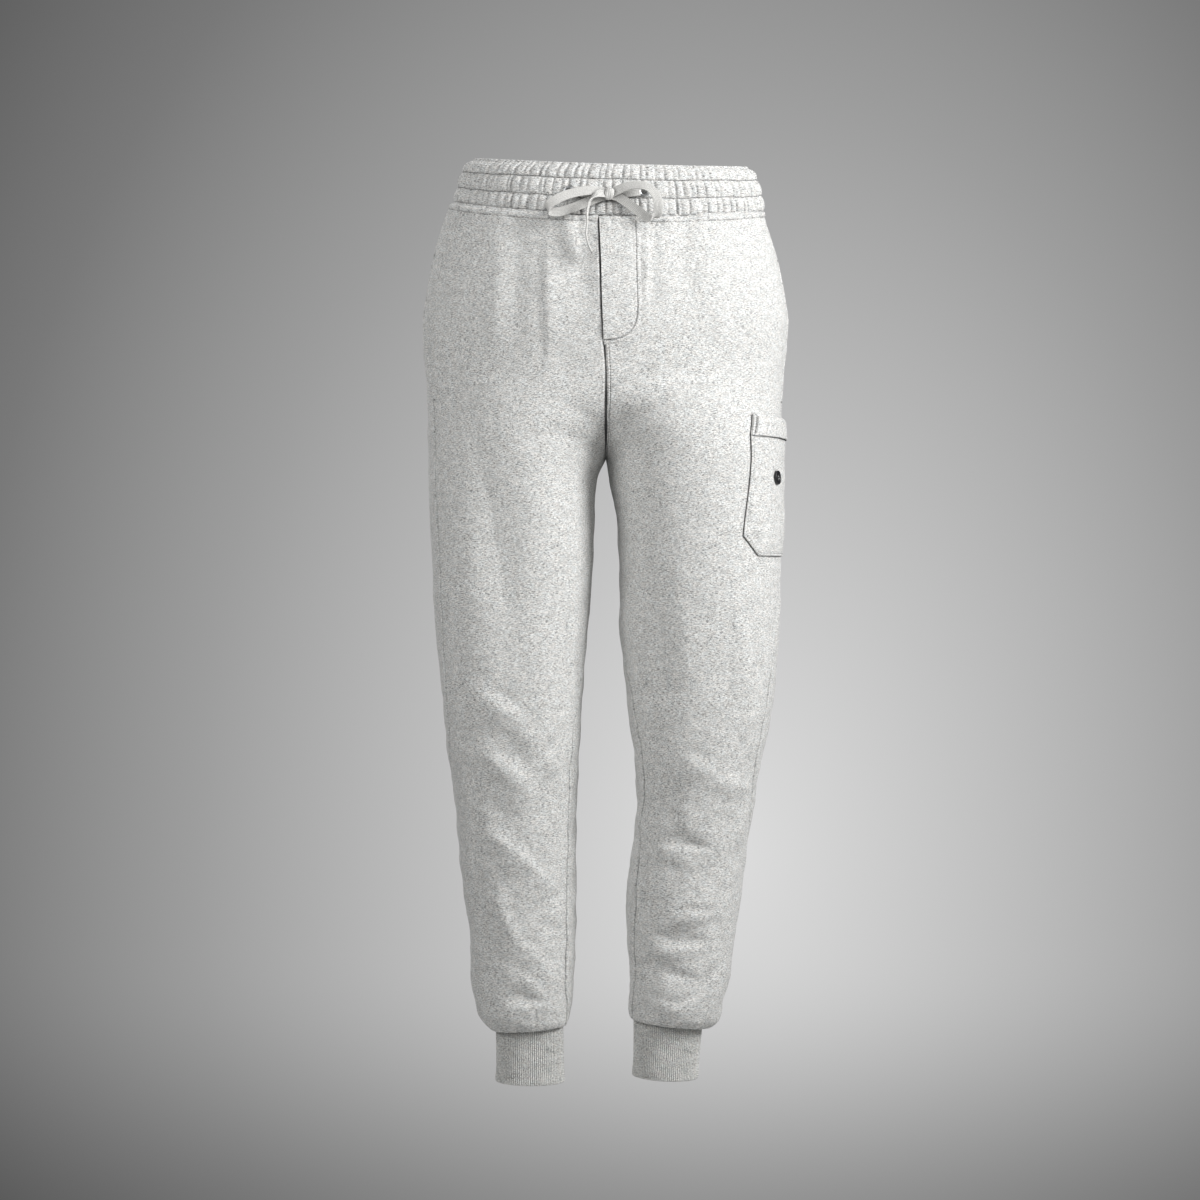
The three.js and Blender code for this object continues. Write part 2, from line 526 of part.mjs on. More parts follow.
function makePocketHem(front, back) {
  const cells = pocketCells(front, back);
  const width = cells[0].length;
  const faces = gridFaces(rowAt(-248), rowAt(-276), 0, width - 1, width, frontLean);
  const middle = (width - 1) / 2;
  const flat = cells.flatMap((list) => list.map((cell, c) => ({ ...cell, c })));
  const low = 0.5 + pocketWall + seamGap;
  const rise = (cell) => low + pocketHemWall + 1.6 * Math.cos(((cell.c - middle) / middle) * 1.5);
  return layerOn('cargo_pocket_hem', flat, faces, low, rise, clothLook);
}

// Sewn button with four holes, flat on the pocket
function makeButton(leg) {
  const row = rowAt(buttonHeight);
  const angle = buttonAngle * toRadians;
  const normal = surfaceNormal(leg, angle, row);
  const place = surfacePoint(leg, angle, row).addScaledVector(normal, 0.5 + pocketWall + 0.35);
  const outline = new THREE.Shape();
  outline.absarc(0, 0, buttonRadius, 0, Math.PI * 2, false);
  for (const [x, y] of [[1.4, 1.4], [-1.4, 1.4], [-1.4, -1.4], [1.4, -1.4]]) {
    const hole = new THREE.Path();
    hole.absarc(x, y, 0.8, 0, Math.PI * 2, true);
    outline.holes.push(hole);
  }
  const geometry = new THREE.ExtrudeGeometry(outline, { depth: 2.6, bevelEnabled: false, curveSegments: 6 });
  const mesh = new THREE.Mesh(geometry, new THREE.MeshStandardMaterial(buttonLook));
  mesh.name = 'cargo_button';
  mesh.position.copy(place);
  mesh.quaternion.setFromUnitVectors(new THREE.Vector3(0, 0, 1), normal);
  return mesh;
}

// Equal steps along the waistband's oval, so that the gathers are evenly wide all round
function ovalTurns(wide, deep, count) {
  const fine = 2880;
  const lengths = [0];
  for (let i = 0; i < fine; i += 1) {
    const turn = ((i + 0.5) / fine) * Math.PI * 2;
    lengths.push(lengths[i] + Math.hypot(wide * Math.cos(turn), deep * Math.sin(turn)));
  }
  const turns = [];
  let i = 0;
  for (let k = 0; k < count; k += 1) {
    const goal = (lengths[fine] * k) / count;
    while (lengths[i + 1] < goal) i += 1;
    turns.push(((i + (goal - lengths[i]) / (lengths[i + 1] - lengths[i])) / fine) * Math.PI * 2);
  }
  return turns;
}

// A ring wall with a finely shaped outside and a plain inside with one point for every few
function ringWall(name, outerRings, innerRings, every, look) {
  const points = [...outerRings.flat(), ...innerRings.flat()];
  const count = outerRings[0].length;
  const plain = innerRings[0].length;
  const start = outerRings.length * count;
  const triangles = [];
  for (let r = 0; r < outerRings.length - 1; r += 1) {
    for (let k = 0; k < count; k += 1) {
      const a = r * count + k;
      const b = r * count + ((k + 1) % count);
      triangles.push([a, b, b + count], [a, b + count, a + count]);
    }
  }
  for (let k = 0; k < plain; k += 1) {
    const a = start + k;
    const b = start + ((k + 1) % plain);
    triangles.push([a, b + plain, b], [a, a + plain, b + plain]);
  }
  const top = (outerRings.length - 1) * count;
  for (let k = 0; k < plain; k += 1) {
    const near = start + k;
    const next = start + ((k + 1) % plain);
    for (let j = 0; j < every; j += 1) {
      const a = k * every + j;
      const b = (a + 1) % count;
      const hub = j < every / 2 ? near : next;
      triangles.push([b, a, hub], [top + a, top + b, hub + plain]);
    }
    const half = k * every + every / 2;
    triangles.push([half, near, next], [top + half, next + plain, near + plain]);
  }
  return meshFrom(name, points, triangles, look);
}

function makeWaistband() {
  const count = bandGathers * 2;
  const turns = ovalTurns(168, 105, count);
  const outerRings = band.map((line) => turns.map((turn, k) => {
    const uneven = 0.85 + 0.25 * Math.sin(5 * turn + 1) + 0.15 * Math.sin(11 * turn);
    const gather = (k % 2 ? -1 : 1) * gatherDepth * line.gather * uneven;
    const out = line.puff + gather;
    return new THREE.Vector3(
      line.shift + (line.wide + out) * Math.sin(turn),
      -(line.deep + out) * Math.cos(turn),
      bandMiddle(turn) + (2 * line.up - 1) * bandHalfHeight(turn),
    );
  }));
  const every = 4;
  const innerRings = [band[0], band[band.length - 1]].map((line) => (
    turns.filter((turn, k) => k % every === 0).map((turn) => new THREE.Vector3(
      line.shift + (line.wide - bandWall) * Math.sin(turn),
      -(line.deep - bandWall) * Math.cos(turn),
      bandMiddle(turn) + (2 * line.up - 1) * bandHalfHeight(turn),
    ))));
  return ringWall('waistband', outerRings, innerRings, every, bandLook);
}

function makeCuff(name, leg) {
  const count = cuffRibs * 2;
  const every = 4;
  const ring = (z, offset, step, ribbed) => {
    const section = cuffSection(leg, z);
    const list = [];
    for (let k = 0; k < count; k += step) {
      const turn = (k / count) * Math.PI * 2;
      const out = offset + (ribbed ? (k % 2 ? -ribDepth : ribDepth) : 0);
      list.push(new THREE.Vector3(
        section.x + (section.wide + out) * Math.sin(turn),
        section.y - (cuffDepth + out) * Math.cos(turn),
        z,
      ));
    }
    return list;
  };
  const top = leg.cuff.top;
  const middle = blend(top, leg.cuff.end, 0.5);
  const outerRings = [ring(leg.cuff.end, -0.4, 1, true), ring(middle, 0, 1, true), ring(top, -0.2, 1, true)];
  const innerRings = [ring(leg.cuff.end, -cuffWall, every, false), ring(top, -cuffWall, every, false)];
  return ringWall(name, outerRings, innerRings, every, cuffLook);
}

// Flat woven tape with softened edges along a smooth course
function makeTape(name, route, steps) {
  const course = new THREE.CatmullRomCurve3(route.map((p) => new THREE.Vector3(p.x, p.y, p.z)));
  const widths = new THREE.CatmullRomCurve3(route.map((p) => new THREE.Vector3(p.wx, p.wy, p.wz)));
  const edge = tapeWidth / 2;
  const half = tapeWall / 2;
  const section = [
    [-edge, -half * 0.4], [-edge + 0.7, -half], [edge - 0.7, -half], [edge, -half * 0.4],
    [edge, half * 0.4], [edge - 0.7, half], [-edge + 0.7, half], [-edge, half * 0.4],
  ];
  const points = [];
  const triangles = [];
  const size = section.length;
  for (let s = 0; s <= steps; s += 1) {
    const centre = course.getPoint(s / steps);
    const forward = course.getTangent(s / steps);
    const across = widths.getPoint(s / steps);
    across.addScaledVector(forward, -across.dot(forward)).normalize();
    const face = new THREE.Vector3().crossVectors(forward, across);
    for (const [u, v] of section) {
      points.push(centre.clone().addScaledVector(across, u).addScaledVector(face, v));
    }
    if (s > 0) {
      for (let k = 0; k < size; k += 1) {
        const a = (s - 1) * size + k;
        const b = (s - 1) * size + ((k + 1) % size);
        triangles.push([a, b, b + size], [a, b + size, a + size]);
      }
    }
  }
  const last = steps * size;
  for (let k = 1; k < size - 1; k += 1) {
    triangles.push([0, k + 1, k], [last, last + k, last + k + 1]);
  }
  return meshFrom(name, points, triangles, tapeLook);
}

// Stretch of tape from an eyelet to the knot, close to the waistband
function makeLead(name, sign) {
  const reach = eyeletReach - 3.4;
  const ends = knotPlace.x + sign * (knotPlace.wide + 0.5);
  const route = [
    { x: sign * reach, y: -108.6, z: -15, wx: 0, wy: 0, wz: 1 },
    { x: sign * (reach - 6), y: -108.4, z: -15.5, wx: 0, wy: 0, wz: 1 },
    { x: sign * 20, y: -108.3, z: -17, wx: 0, wy: 0, wz: 1 },
    { x: ends, y: -108.3, z: -18, wx: 0, wy: 0, wz: 1 },
  ];
  return makeTape(name, route, 6);
}

function makeKnot() {
  const geometry = new THREE.SphereGeometry(1, 12, 8);
  geometry.scale(knotPlace.wide, knotPlace.deep, knotPlace.tall);
  const mesh = new THREE.Mesh(geometry, new THREE.MeshStandardMaterial(tapeLook));
  mesh.name = 'bow_knot';
  mesh.position.set(knotPlace.x, knotPlace.y, knotPlace.z);
  return mesh;
}

// Pressed ring round the hole through which the tape leaves the waistband
function makeEyelet(name, sign) {
  const turn = sign * Math.asin(eyeletReach / 168);
  const profilePoints = [
    [3.1, -0.5], [5.2, -0.5], [5.8, 0], [5.2, 0.7], [4.4, 1], [3.5, 0.8], [3.1, 0.2], [3.1, -0.5],
  ].map(([r, h]) => new THREE.Vector2(r, h));
  const geometry = new THREE.LatheGeometry(profilePoints, 16);
  const mesh = new THREE.Mesh(geometry, new THREE.MeshStandardMaterial(eyeletLook));
  mesh.name = name;
  const out = 3.15 + 0.25 * sign;
  const aside = (sign * eyeletReach - band[2].shift) / band[2].wide;
  mesh.position.set((168 + out) * Math.sin(turn), -(105 + out) * Math.sqrt(1 - aside * aside), -14.4);
  mesh.quaternion.setFromUnitVectors(new THREE.Vector3(0, 1, 0), new THREE.Vector3(sign * 0.14, -1, 0).normalize());
  return mesh;
}

const right = { sign: -1, table: rightLeg, seams: rightSeams, cuff: cuffs.right };
const left = { sign: 1, table: leftLeg, seams: leftSeams, cuff: cuffs.left };

const frontRight = makePanel('front_right', right, 'front');
const frontLeft = makePanel('front_left', left, 'front');
const backRight = makePanel('back_right', right, 'back');
const backLeft = makePanel('back_left', left, 'back');

const garment = new THREE.Group();
garment.add(frontRight.mesh, frontLeft.mesh, backRight.mesh, backLeft.mesh);
garment.add(makeWaistband());
garment.add(makeCuff('cuff_right', right), makeCuff('cuff_left', left));
garment.add(makeFly(frontLeft));
garment.add(makeCargoPocket(frontLeft, backLeft), makePocketHem(frontLeft, backLeft));
garment.add(makeButton(left));
garment.add(makeEyelet('eyelet_right', -1), makeEyelet('eyelet_left', 1));
garment.add(makeLead('drawstring_right_lead', -1), makeLead('drawstring_left_lead', 1));
garment.add(makeKnot());
garment.add(makeTape('drawstring_right_loop', leftLoopRoute, 18));
garment.add(makeTape('drawstring_left_loop', rightLoopRoute, 20));
garment.add(makeTape('drawstring_right_end', freeEndRoute, 12));

export default garment;
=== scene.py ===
import math

import bpy
import numpy as np
from mathutils import Matrix, Vector


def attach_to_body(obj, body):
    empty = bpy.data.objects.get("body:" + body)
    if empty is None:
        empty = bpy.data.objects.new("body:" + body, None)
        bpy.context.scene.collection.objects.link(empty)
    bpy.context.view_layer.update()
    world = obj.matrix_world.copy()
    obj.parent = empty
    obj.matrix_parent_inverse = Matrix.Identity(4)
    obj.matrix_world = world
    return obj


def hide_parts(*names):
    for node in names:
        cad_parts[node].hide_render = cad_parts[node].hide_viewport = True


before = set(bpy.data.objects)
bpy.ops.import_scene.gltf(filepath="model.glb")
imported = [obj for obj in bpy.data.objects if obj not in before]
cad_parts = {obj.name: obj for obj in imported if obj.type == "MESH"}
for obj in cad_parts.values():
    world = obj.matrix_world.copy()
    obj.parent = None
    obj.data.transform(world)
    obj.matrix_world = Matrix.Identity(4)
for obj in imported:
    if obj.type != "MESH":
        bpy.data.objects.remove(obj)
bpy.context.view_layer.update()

bpy.ops.object.select_all(action="DESELECT")
chance = np.random.RandomState(20)

# Sizes are in millimetres in the same frame as the solids, and become metres when a mesh is made.
# +Z is up, +X is the wearer's left and the front faces -Y.
toMetres = 0.001
crotchHeight = -293
roundness = 0.92


# ---- small tools

def smoothStep(low, high, value):
    share = np.clip((value - low) / (high - low), 0, 1)
    return share * share * (3 - 2 * share)


def signedPower(value, power):
    return np.sign(value) * np.abs(value) ** power


def readTable(table, at):
    rows = sorted(table)   # rows of (place, value), joined by a smooth curve that never overshoots
    place = np.array([row[0] for row in rows], float)
    value = np.array([row[1] for row in rows], float)
    slope = np.diff(value) / np.diff(place)
    tangent = np.concatenate([slope[:1], np.zeros(len(rows) - 2), slope[-1:]])
    before, after = slope[:-1], slope[1:]
    same = before * after > 0
    tangent[1:-1] = np.where(same, 2 * before * after / np.where(same, before + after, 1), 0)
    k = np.clip(np.searchsorted(place, at, side="right") - 1, 0, len(rows) - 2)
    step = place[k + 1] - place[k]
    t = np.clip((at - place[k]) / step, 0, 1)
    rise = value[k + 1] - value[k]
    start, end = tangent[k] * step, tangent[k + 1] * step
    return value[k] + start * t + (3 * rise - 2 * start - end) * t ** 2 + (start + end - 2 * rise) * t ** 3


def unit(vectors):
    return vectors / np.maximum(np.linalg.norm(vectors, axis=-1, keepdims=True), 1e-12)


def gridFaces(rowCount, columnCount, closedAcross=False, closedDown=False, flipped=False):
    across = columnCount if closedAcross else columnCount - 1
    down = rowCount if closedDown else rowCount - 1
    r, c = np.meshgrid(np.arange(down), np.arange(across), indexing="ij")
    below, beside = (r + 1) % rowCount, (c + 1) % columnCount
    corners = [r * columnCount + c, below * columnCount + c, below * columnCount + beside, r * columnCount + beside]
    faces = np.stack(corners[::-1] if flipped else corners, axis=-1).reshape(-1, 4)
    return faces.tolist()


def makePiece(name, points, faces, material, clothMap=None):
    mesh = bpy.data.meshes.new(name)
    mesh.from_pydata((np.asarray(points).reshape(-1, 3) * toMetres).tolist(), [], faces)
    if clothMap is not None:
        layer = mesh.uv_layers.new(name="clothMap")
        corner = np.zeros(len(mesh.loops), int)
        mesh.loops.foreach_get("vertex_index", corner)
        flat = np.asarray(clothMap).reshape(-1, 2) * toMetres
        layer.data.foreach_set("uv", flat[corner].ravel())
    mesh.polygons.foreach_set("use_smooth", [True] * len(mesh.polygons))
    mesh.materials.append(material)
    piece = bpy.data.objects.new(name, mesh)
    bpy.context.scene.collection.objects.link(piece)
    return piece


def applyModifier(piece, kind, **settings):
    modifier = piece.modifiers.new(kind.title(), kind)
    for key, value in settings.items():
        setattr(modifier, key, value)
    bpy.ops.object.select_all(action="DESELECT")
    piece.select_set(True)
    bpy.context.view_layer.objects.active = piece
    bpy.ops.object.modifier_apply(modifier=modifier.name)


def attach(piece, slot, *nodes):
    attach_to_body(piece, "root")
    if nodes:
        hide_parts(*nodes)
    return piece


# ---- materials

def paint(hexCode):
    parts = [int(hexCode[i:i + 2], 16) / 255 for i in (1, 3, 5)]
    return tuple(p / 12.92 if p <= 0.04045 else ((p + 0.055) / 1.055) ** 2.4 for p in parts) + (1,)


def addNode(tree, kind, settings=None, links=None):
    node = tree.nodes.new(kind)
    for key, value in (settings or {}).items():
        if key == "ramp":   # (place, colour) of each step
            steps = node.color_ramp.elements
            for i, (place, hexCode) in enumerate(sorted(value)):
                step = steps[i] if i < 2 else steps.new(place)
                step.position, step.color = place, paint(hexCode)
        elif isinstance(key, int) or key in node.inputs:
            node.inputs[key].default_value = value
        else:
            setattr(node, key, value)
    for key, socket in (links or {}).items():
        tree.links.new(socket, node.inputs[key])
    return node


def newMaterial(name):
    material = bpy.data.materials.new(name)
    material.use_nodes = True
    material.node_tree.nodes.clear()
    return material, material.node_tree


def closeMaterial(tree, shader):
    addNode(tree, "ShaderNodeOutputMaterial", links={"Surface": shader.outputs[0]})


# Streaks are short lines of grey yarn across the knit; each size is in millimetres
clothFinish = {
    "streakLong": 3.4, "streakTall": 0.75, "fineLong": 1.5, "fineTall": 0.55, "mottle": 14, "tint": 9, "drift": 70,
    "dark": "#6c6c6c", "middle": "#cbcbcb", "light": "#ebebeb", "low": 0.38, "centre": 0.5, "high": 0.59,
    "fleckLong": 4.2, "fleckTall": 0.7, "fleck": "#a6a6a6", "fleckFrom": 0.585, "fleckTo": 0.64,
    "bump": 0.7, "bumpDepth": 0.45, "roughness": 0.95, "sheen": 0.15,
    # hollow settings: painted shade, how far and how dark the colour is darkened in seams, gathers and creases
    "hollowReach": 5.0, "hollow": "#4c4c4c", "hollowFrom": 0.25, "hollowTo": 0.88,
}
ribFinish = {**clothFinish, "streakLong": 1.2, "streakTall": 1.1, "fineLong": 0.9, "fineTall": 0.8,
             "fleckLong": 1.1, "fleckTall": 1.2, "dark": "#6a6a6a", "middle": "#cdcdcc", "light": "#ebebea",
             "bump": 0.35, "hollowReach": 2.2}


def shadeHollows(tree, colour, finish):   # painted shade: the colour is darkened where the surface is occluded, in seams, gathers and between ribs
    hollow = addNode(tree, "ShaderNodeAmbientOcclusion",
                     {"samples": 8, "Distance": finish["hollowReach"] * toMetres})
    depth = addNode(tree, "ShaderNodeValToRGB",
                    {"ramp": [(finish["hollowFrom"], finish["hollow"]), (finish["hollowTo"], "#ffffff")]},
                    {"Fac": hollow.outputs["AO"]})
    return addNode(tree, "ShaderNodeMix", {"data_type": "RGBA", "blend_type": "MULTIPLY", 0: 1.0},
                   {6: colour, 7: depth.outputs["Color"]}).outputs[2]


def clothMaterial(name, finish):
    material, tree = newMaterial(name)
    map2d = addNode(tree, "ShaderNodeUVMap", {"uv_map": "clothMap"})
    drift = addNode(tree, "ShaderNodeTexNoise", {"Scale": 1000 / finish["drift"], "Detail": 1},
                    {"Vector": map2d.outputs["UV"]})
    place = addNode(tree, "ShaderNodeVectorMath", {"operation": "MULTIPLY_ADD", 1: (0, 0.02, 0)},
                    {0: drift.outputs["Color"], 2: map2d.outputs["UV"]})   # the streaks wander up and down

    def grain(long, tall, detail, turn=0.0):
        scale = (1000 / long, 1000 / tall, 1)
        mapped = addNode(tree, "ShaderNodeMapping", {"Scale": scale, "Rotation": (0, 0, turn)},
                         {"Vector": place.outputs[0]})
        return addNode(tree, "ShaderNodeTexNoise", {"Scale": 1, "Detail": detail, "Roughness": 0.6},
                       {"Vector": mapped.outputs["Vector"]}).outputs["Fac"]

    streak = grain(finish["streakLong"], finish["streakTall"], 2, 0.05)
    fine = grain(finish["fineLong"], finish["fineTall"], 1, -0.04)
    mottle = grain(finish["mottle"], finish["mottle"] * 0.5, 2)
    tint = grain(finish["tint"], finish["tint"] * 0.3, 1)
    mixed = addNode(tree, "ShaderNodeMath", {"operation": "MULTIPLY_ADD", 1: 0.42}, {0: fine})
    part = addNode(tree, "ShaderNodeMath", {"operation": "MULTIPLY", 1: 0.46}, {0: streak})
    patch = addNode(tree, "ShaderNodeMath", {"operation": "MULTIPLY_ADD", 1: 0.12},
                    {0: mottle, 2: part.outputs[0]})
    tree.links.new(patch.outputs[0], mixed.inputs[2])
    ramp = addNode(tree, "ShaderNodeValToRGB",
                   {"ramp": [(finish["low"], finish["dark"]), (finish["high"], finish["light"]),
                             (finish["centre"], finish["middle"])]},
                   {"Fac": mixed.outputs[0]})
    warm = addNode(tree, "ShaderNodeValToRGB", {"ramp": [(0.4, "#f8faf9"), (0.6, "#fdfbf7")]}, {"Fac": tint})
    colour = addNode(tree, "ShaderNodeMix", {"data_type": "RGBA", "blend_type": "MULTIPLY", 0: 1.0},
                     {6: ramp.outputs["Color"], 7: warm.outputs["Color"]})
    fleck = addNode(tree, "ShaderNodeValToRGB",
                    {"ramp": [(finish["fleckFrom"], "#ffffff"), (finish["fleckTo"], finish["fleck"])]},
                    {"Fac": grain(finish["fleckLong"], finish["fleckTall"], 1, 0.02)})
    flecked = addNode(tree, "ShaderNodeMix", {"data_type": "RGBA", "blend_type": "MULTIPLY", 0: 1.0},
                      {6: colour.outputs[2], 7: fleck.outputs["Color"]})
    bump = addNode(tree, "ShaderNodeBump", {"Strength": finish["bump"], "Distance": finish["bumpDepth"] * toMetres},
                   {"Height": mixed.outputs[0]})
    shader = addNode(tree, "ShaderNodeBsdfPrincipled",
                     {"Roughness": finish["roughness"], "Sheen Weight": finish["sheen"], "Sheen Roughness": 0.6,
                      "Specular IOR Level": 0.2},
                     {"Base Color": shadeHollows(tree, flecked.outputs[2], finish), "Normal": bump.outputs["Normal"]})
    closeMaterial(tree, shader)
    return material


tapeFinish = {"weave": 0.8, "dark": "#8c8c89", "light": "#d4d3d0", "bump": 0.7,
              # hollow settings: painted shade in the knot, between the loops and between the yarns
              "hollowReach": 4.0, "hollow": "#4c4c4c", "hollowFrom": 0.2, "hollowTo": 0.85}


def tapeMaterial():   # woven cotton tape: small even cells of yarn, brighter than the cloth
    material, tree = newMaterial("wovenCottonTape")
    place = addNode(tree, "ShaderNodeUVMap", {"uv_map": "clothMap"})
    scale = 1000 / tapeFinish["weave"]
    mapped = addNode(tree, "ShaderNodeMapping", {"Scale": (scale, scale * 0.6, 1)}, {"Vector": place.outputs["UV"]})
    cells = addNode(tree, "ShaderNodeTexVoronoi", {"Scale": 1, "Randomness": 0.35}, {"Vector": mapped.outputs["Vector"]})
    fuzz = addNode(tree, "ShaderNodeTexNoise", {"Scale": 1.7, "Detail": 2}, {"Vector": mapped.outputs["Vector"]})
    mixed = addNode(tree, "ShaderNodeMath", {"operation": "MULTIPLY_ADD", 1: -0.35},
                    {0: cells.outputs["Distance"], 2: fuzz.outputs["Fac"]})
    ramp = addNode(tree, "ShaderNodeValToRGB", {"ramp": [(0.05, tapeFinish["dark"]), (0.5, tapeFinish["light"])]},
                   {"Fac": mixed.outputs[0]})
    bump = addNode(tree, "ShaderNodeBump", {"Strength": tapeFinish["bump"], "Distance": 0.0002},
                   {"Height": mixed.outputs[0]})
    shader = addNode(tree, "ShaderNodeBsdfPrincipled", {"Roughness": 0.85, "Sheen Weight": 0.2},
                     {"Base Color": shadeHollows(tree, ramp.outputs["Color"], tapeFinish),
                      "Normal": bump.outputs["Normal"]})
    closeMaterial(tree, shader)
    return material


def objectMaterial(name, grain, colours, values, bumpDepth):
    material, tree = newMaterial(name)
    place = addNode(tree, "ShaderNodeTexCoord")
    noise = addNode(tree, "ShaderNodeTexNoise", {"Scale": 1000 / grain, "Detail": 3},
                    {"Vector": place.outputs["Object"]})
    ramp = addNode(tree, "ShaderNodeValToRGB", {"ramp": [(0.35, colours[0]), (0.65, colours[1])]},
                   {"Fac": noise.outputs["Fac"]})
    bump = addNode(tree, "ShaderNodeBump", {"Strength": 0.3, "Distance": bumpDepth * toMetres},
                   {"Height": noise.outputs["Fac"]})
    shader = addNode(tree, "ShaderNodeBsdfPrincipled", values,
                     {"Base Color": ramp.outputs["Color"], "Normal": bump.outputs["Normal"]})
    closeMaterial(tree, shader)
    return material


sweatCloth = clothMaterial("brushedHeatherSweatCloth", clothFinish)   # matt, soft, with grey yarn streaks
ribKnit = clothMaterial("oneByOneRibKnit", ribFinish)                 # the same yarn, tighter and a little darker
wovenTape = tapeMaterial()
sewingThread = objectMaterial("spunPolyesterThread", 0.8, ("#6f706f", "#9a9a98"),
                              {"Roughness": 0.8, "Sheen Weight": 0.1}, 0.05)   # slightly darker than the cloth
blackResin = objectMaterial("mouldedPolyesterResin", 2.5, ("#0b0b0d", "#1c1c20"),
                            {"Roughness": 0.34, "Coat Weight": 0.25, "Coat Roughness": 0.2}, 0.03)   # satin black
pressedBrass = objectMaterial("nickelPlatedPressedBrass", 3.0, ("#9b9d9f", "#cfd1d2"),
                              {"Metallic": 1.0, "Roughness": 0.3}, 0.02)   # bright, with fine handling marks
print("materials ready")


# ---- camera

cameraPlace = {"location": (-0.0065, -3.5, -0.447), "lens": 96.3, "sensor": 36.0}


def addCamera():
    data = bpy.data.cameras.new("studioCamera")
    data.lens, data.sensor_width = cameraPlace["lens"], cameraPlace["sensor"]
    data.dof.use_dof = False
    camera = bpy.data.objects.new("studioCamera", data)
    camera.location = cameraPlace["location"]
    camera.rotation_euler = (math.radians(90), 0, 0)
    bpy.context.scene.collection.objects.link(camera)
    bpy.context.scene.camera = camera


addCamera()
print("camera placed")


# ---- drawstring: the tape's course, then the tape, its frayed end and the knot

tape = {"width": 10.0, "wall": 1.6, "ribs": 7, "ribHeight": 0.26, "step": 1.3, "eyelet": 35.6}
knot = {"x": 3.2, "y": -114.6, "z": -18.5, "half": 5.0, "deep": 6.3, "tall": 6.9}

# Places of the tape's middle and directions of its width: x, y, z, width x, width y, width z
leftLoopRoute = [
    (-4, -114.5, -16.5, 0, 0.1, 1), (-17, -119, -15.5, -0.1, 0.1, 1), (-38, -122.5, -19.5, -0.3, 0.1, 0.95),
    (-54, -124, -26.5, -0.4, 0.1, 0.9), (-61.5, -122, -32.5, -0.45, 0, 0.9), (-60, -118.5, -37, -0.45, 0, 0.9),
    (-51, -116.5, -38, -0.4, 0, 0.9), (-36, -115, -33.5, -0.4, 0, 0.9), (-20, -113, -27, -0.35, 0, 0.95),
    (-4, -110.8, -20.5, -0.2, 0, 1),
]
rightLoopRoute = [
    (10.4, -114.5, -15.5, -0.2, 0.2, 1), (20, -118, -11.5, -0.3, 0.3, 0.9), (33, -121.5, -10, 0.1, 0.4, 0.9),
    (45, -125, -13.5, 0.6, 0.4, 0.65), (52.5, -127, -22, 0.95, 0.2, 0.25), (55, -127, -33, 1, 0.1, 0.05),
    (53, -124, -42, 0.95, 0, 0.2), (46, -119.5, -45, 0.8, 0, 0.55), (36, -116, -38.5, 0.65, 0, 0.75),
    (23, -113, -28.5, 0.6, 0, 0.8), (10.4, -110.8, -20.5, 0.4, 0, 0.9),
]
freeEndRoute = [
    (-2.9, -118.7, -18.8, -0.35, 0.35, 0.87), (-9, -123.5, -20.5, -0.1, 0.7, 0.6),
    (-16.5, -127, -27, 0.2, 1, 0.2), (-19.5, -127, -37.5, 0.1, 1, 0), (-20, -127, -51, 0, 1, 0),
    (-21, -127.5, -62, 0, 1, 0), (-19, -128, -72.5, 0, 1, 0), (-15, -128.5, -82, 0, 1, 0),
]


def leadRoute(side):
    reach = tape["eyelet"]
    return [(side * reach, -107.4, -14.6, 0, 0, 1), (side * (reach - 6), -108.4, -15.5, 0, 0, 1),
            (side * 20, -108.3, -17, 0, 0, 1), (knot["x"] + side * 7.1, -108.3, -18, 0, 0, 1),
            (knot["x"] + side * 2.5, -109.6, -18.3, 0, 0, 1)]


def smoothCourse(route, step):
    route = np.array(route, float)
    chord = np.concatenate([[0], np.cumsum(np.linalg.norm(np.diff(route[:, :3], axis=0), axis=1) ** 0.5)])
    fine = np.linspace(0, chord[-1], 900)
    k = np.clip(np.searchsorted(chord, fine, side="right") - 1, 0, len(route) - 2)
    t = ((fine - chord[k]) / (chord[k + 1] - chord[k]))[:, None]
    slope = np.gradient(route, chord, axis=0)
    span = (chord[k + 1] - chord[k])[:, None]
    a, b = route[k], route[k + 1]
    da, db = slope[k] * span, slope[k + 1] * span
    curve = a + da * t + (3 * (b - a) - 2 * da - db) * t ** 2 + (da + db - 2 * (b - a)) * t ** 3
    length = np.concatenate([[0], np.cumsum(np.linalg.norm(np.diff(curve[:, :3], axis=0), axis=1))])
    even = np.linspace(0, length[-1], int(length[-1] / step) + 1)
    return np.stack([np.interp(even, length, curve[:, i]) for i in range(6)], axis=1), length[-1]


def tapeSection():
    edge, half = tape["width"] / 2, tape["wall"] / 2
    across = np.linspace(-1, 1, 29)
    rounded = np.sqrt(np.clip(1 - np.abs(across) ** 9, 0.02, 1))
    ribbed = half * rounded + tape["ribHeight"] * np.cos(across * math.pi * tape["ribs"]) * rounded
    top = np.stack([across * edge, ribbed], axis=1)
    return np.concatenate([top, top[::-1] * [1, -1]])


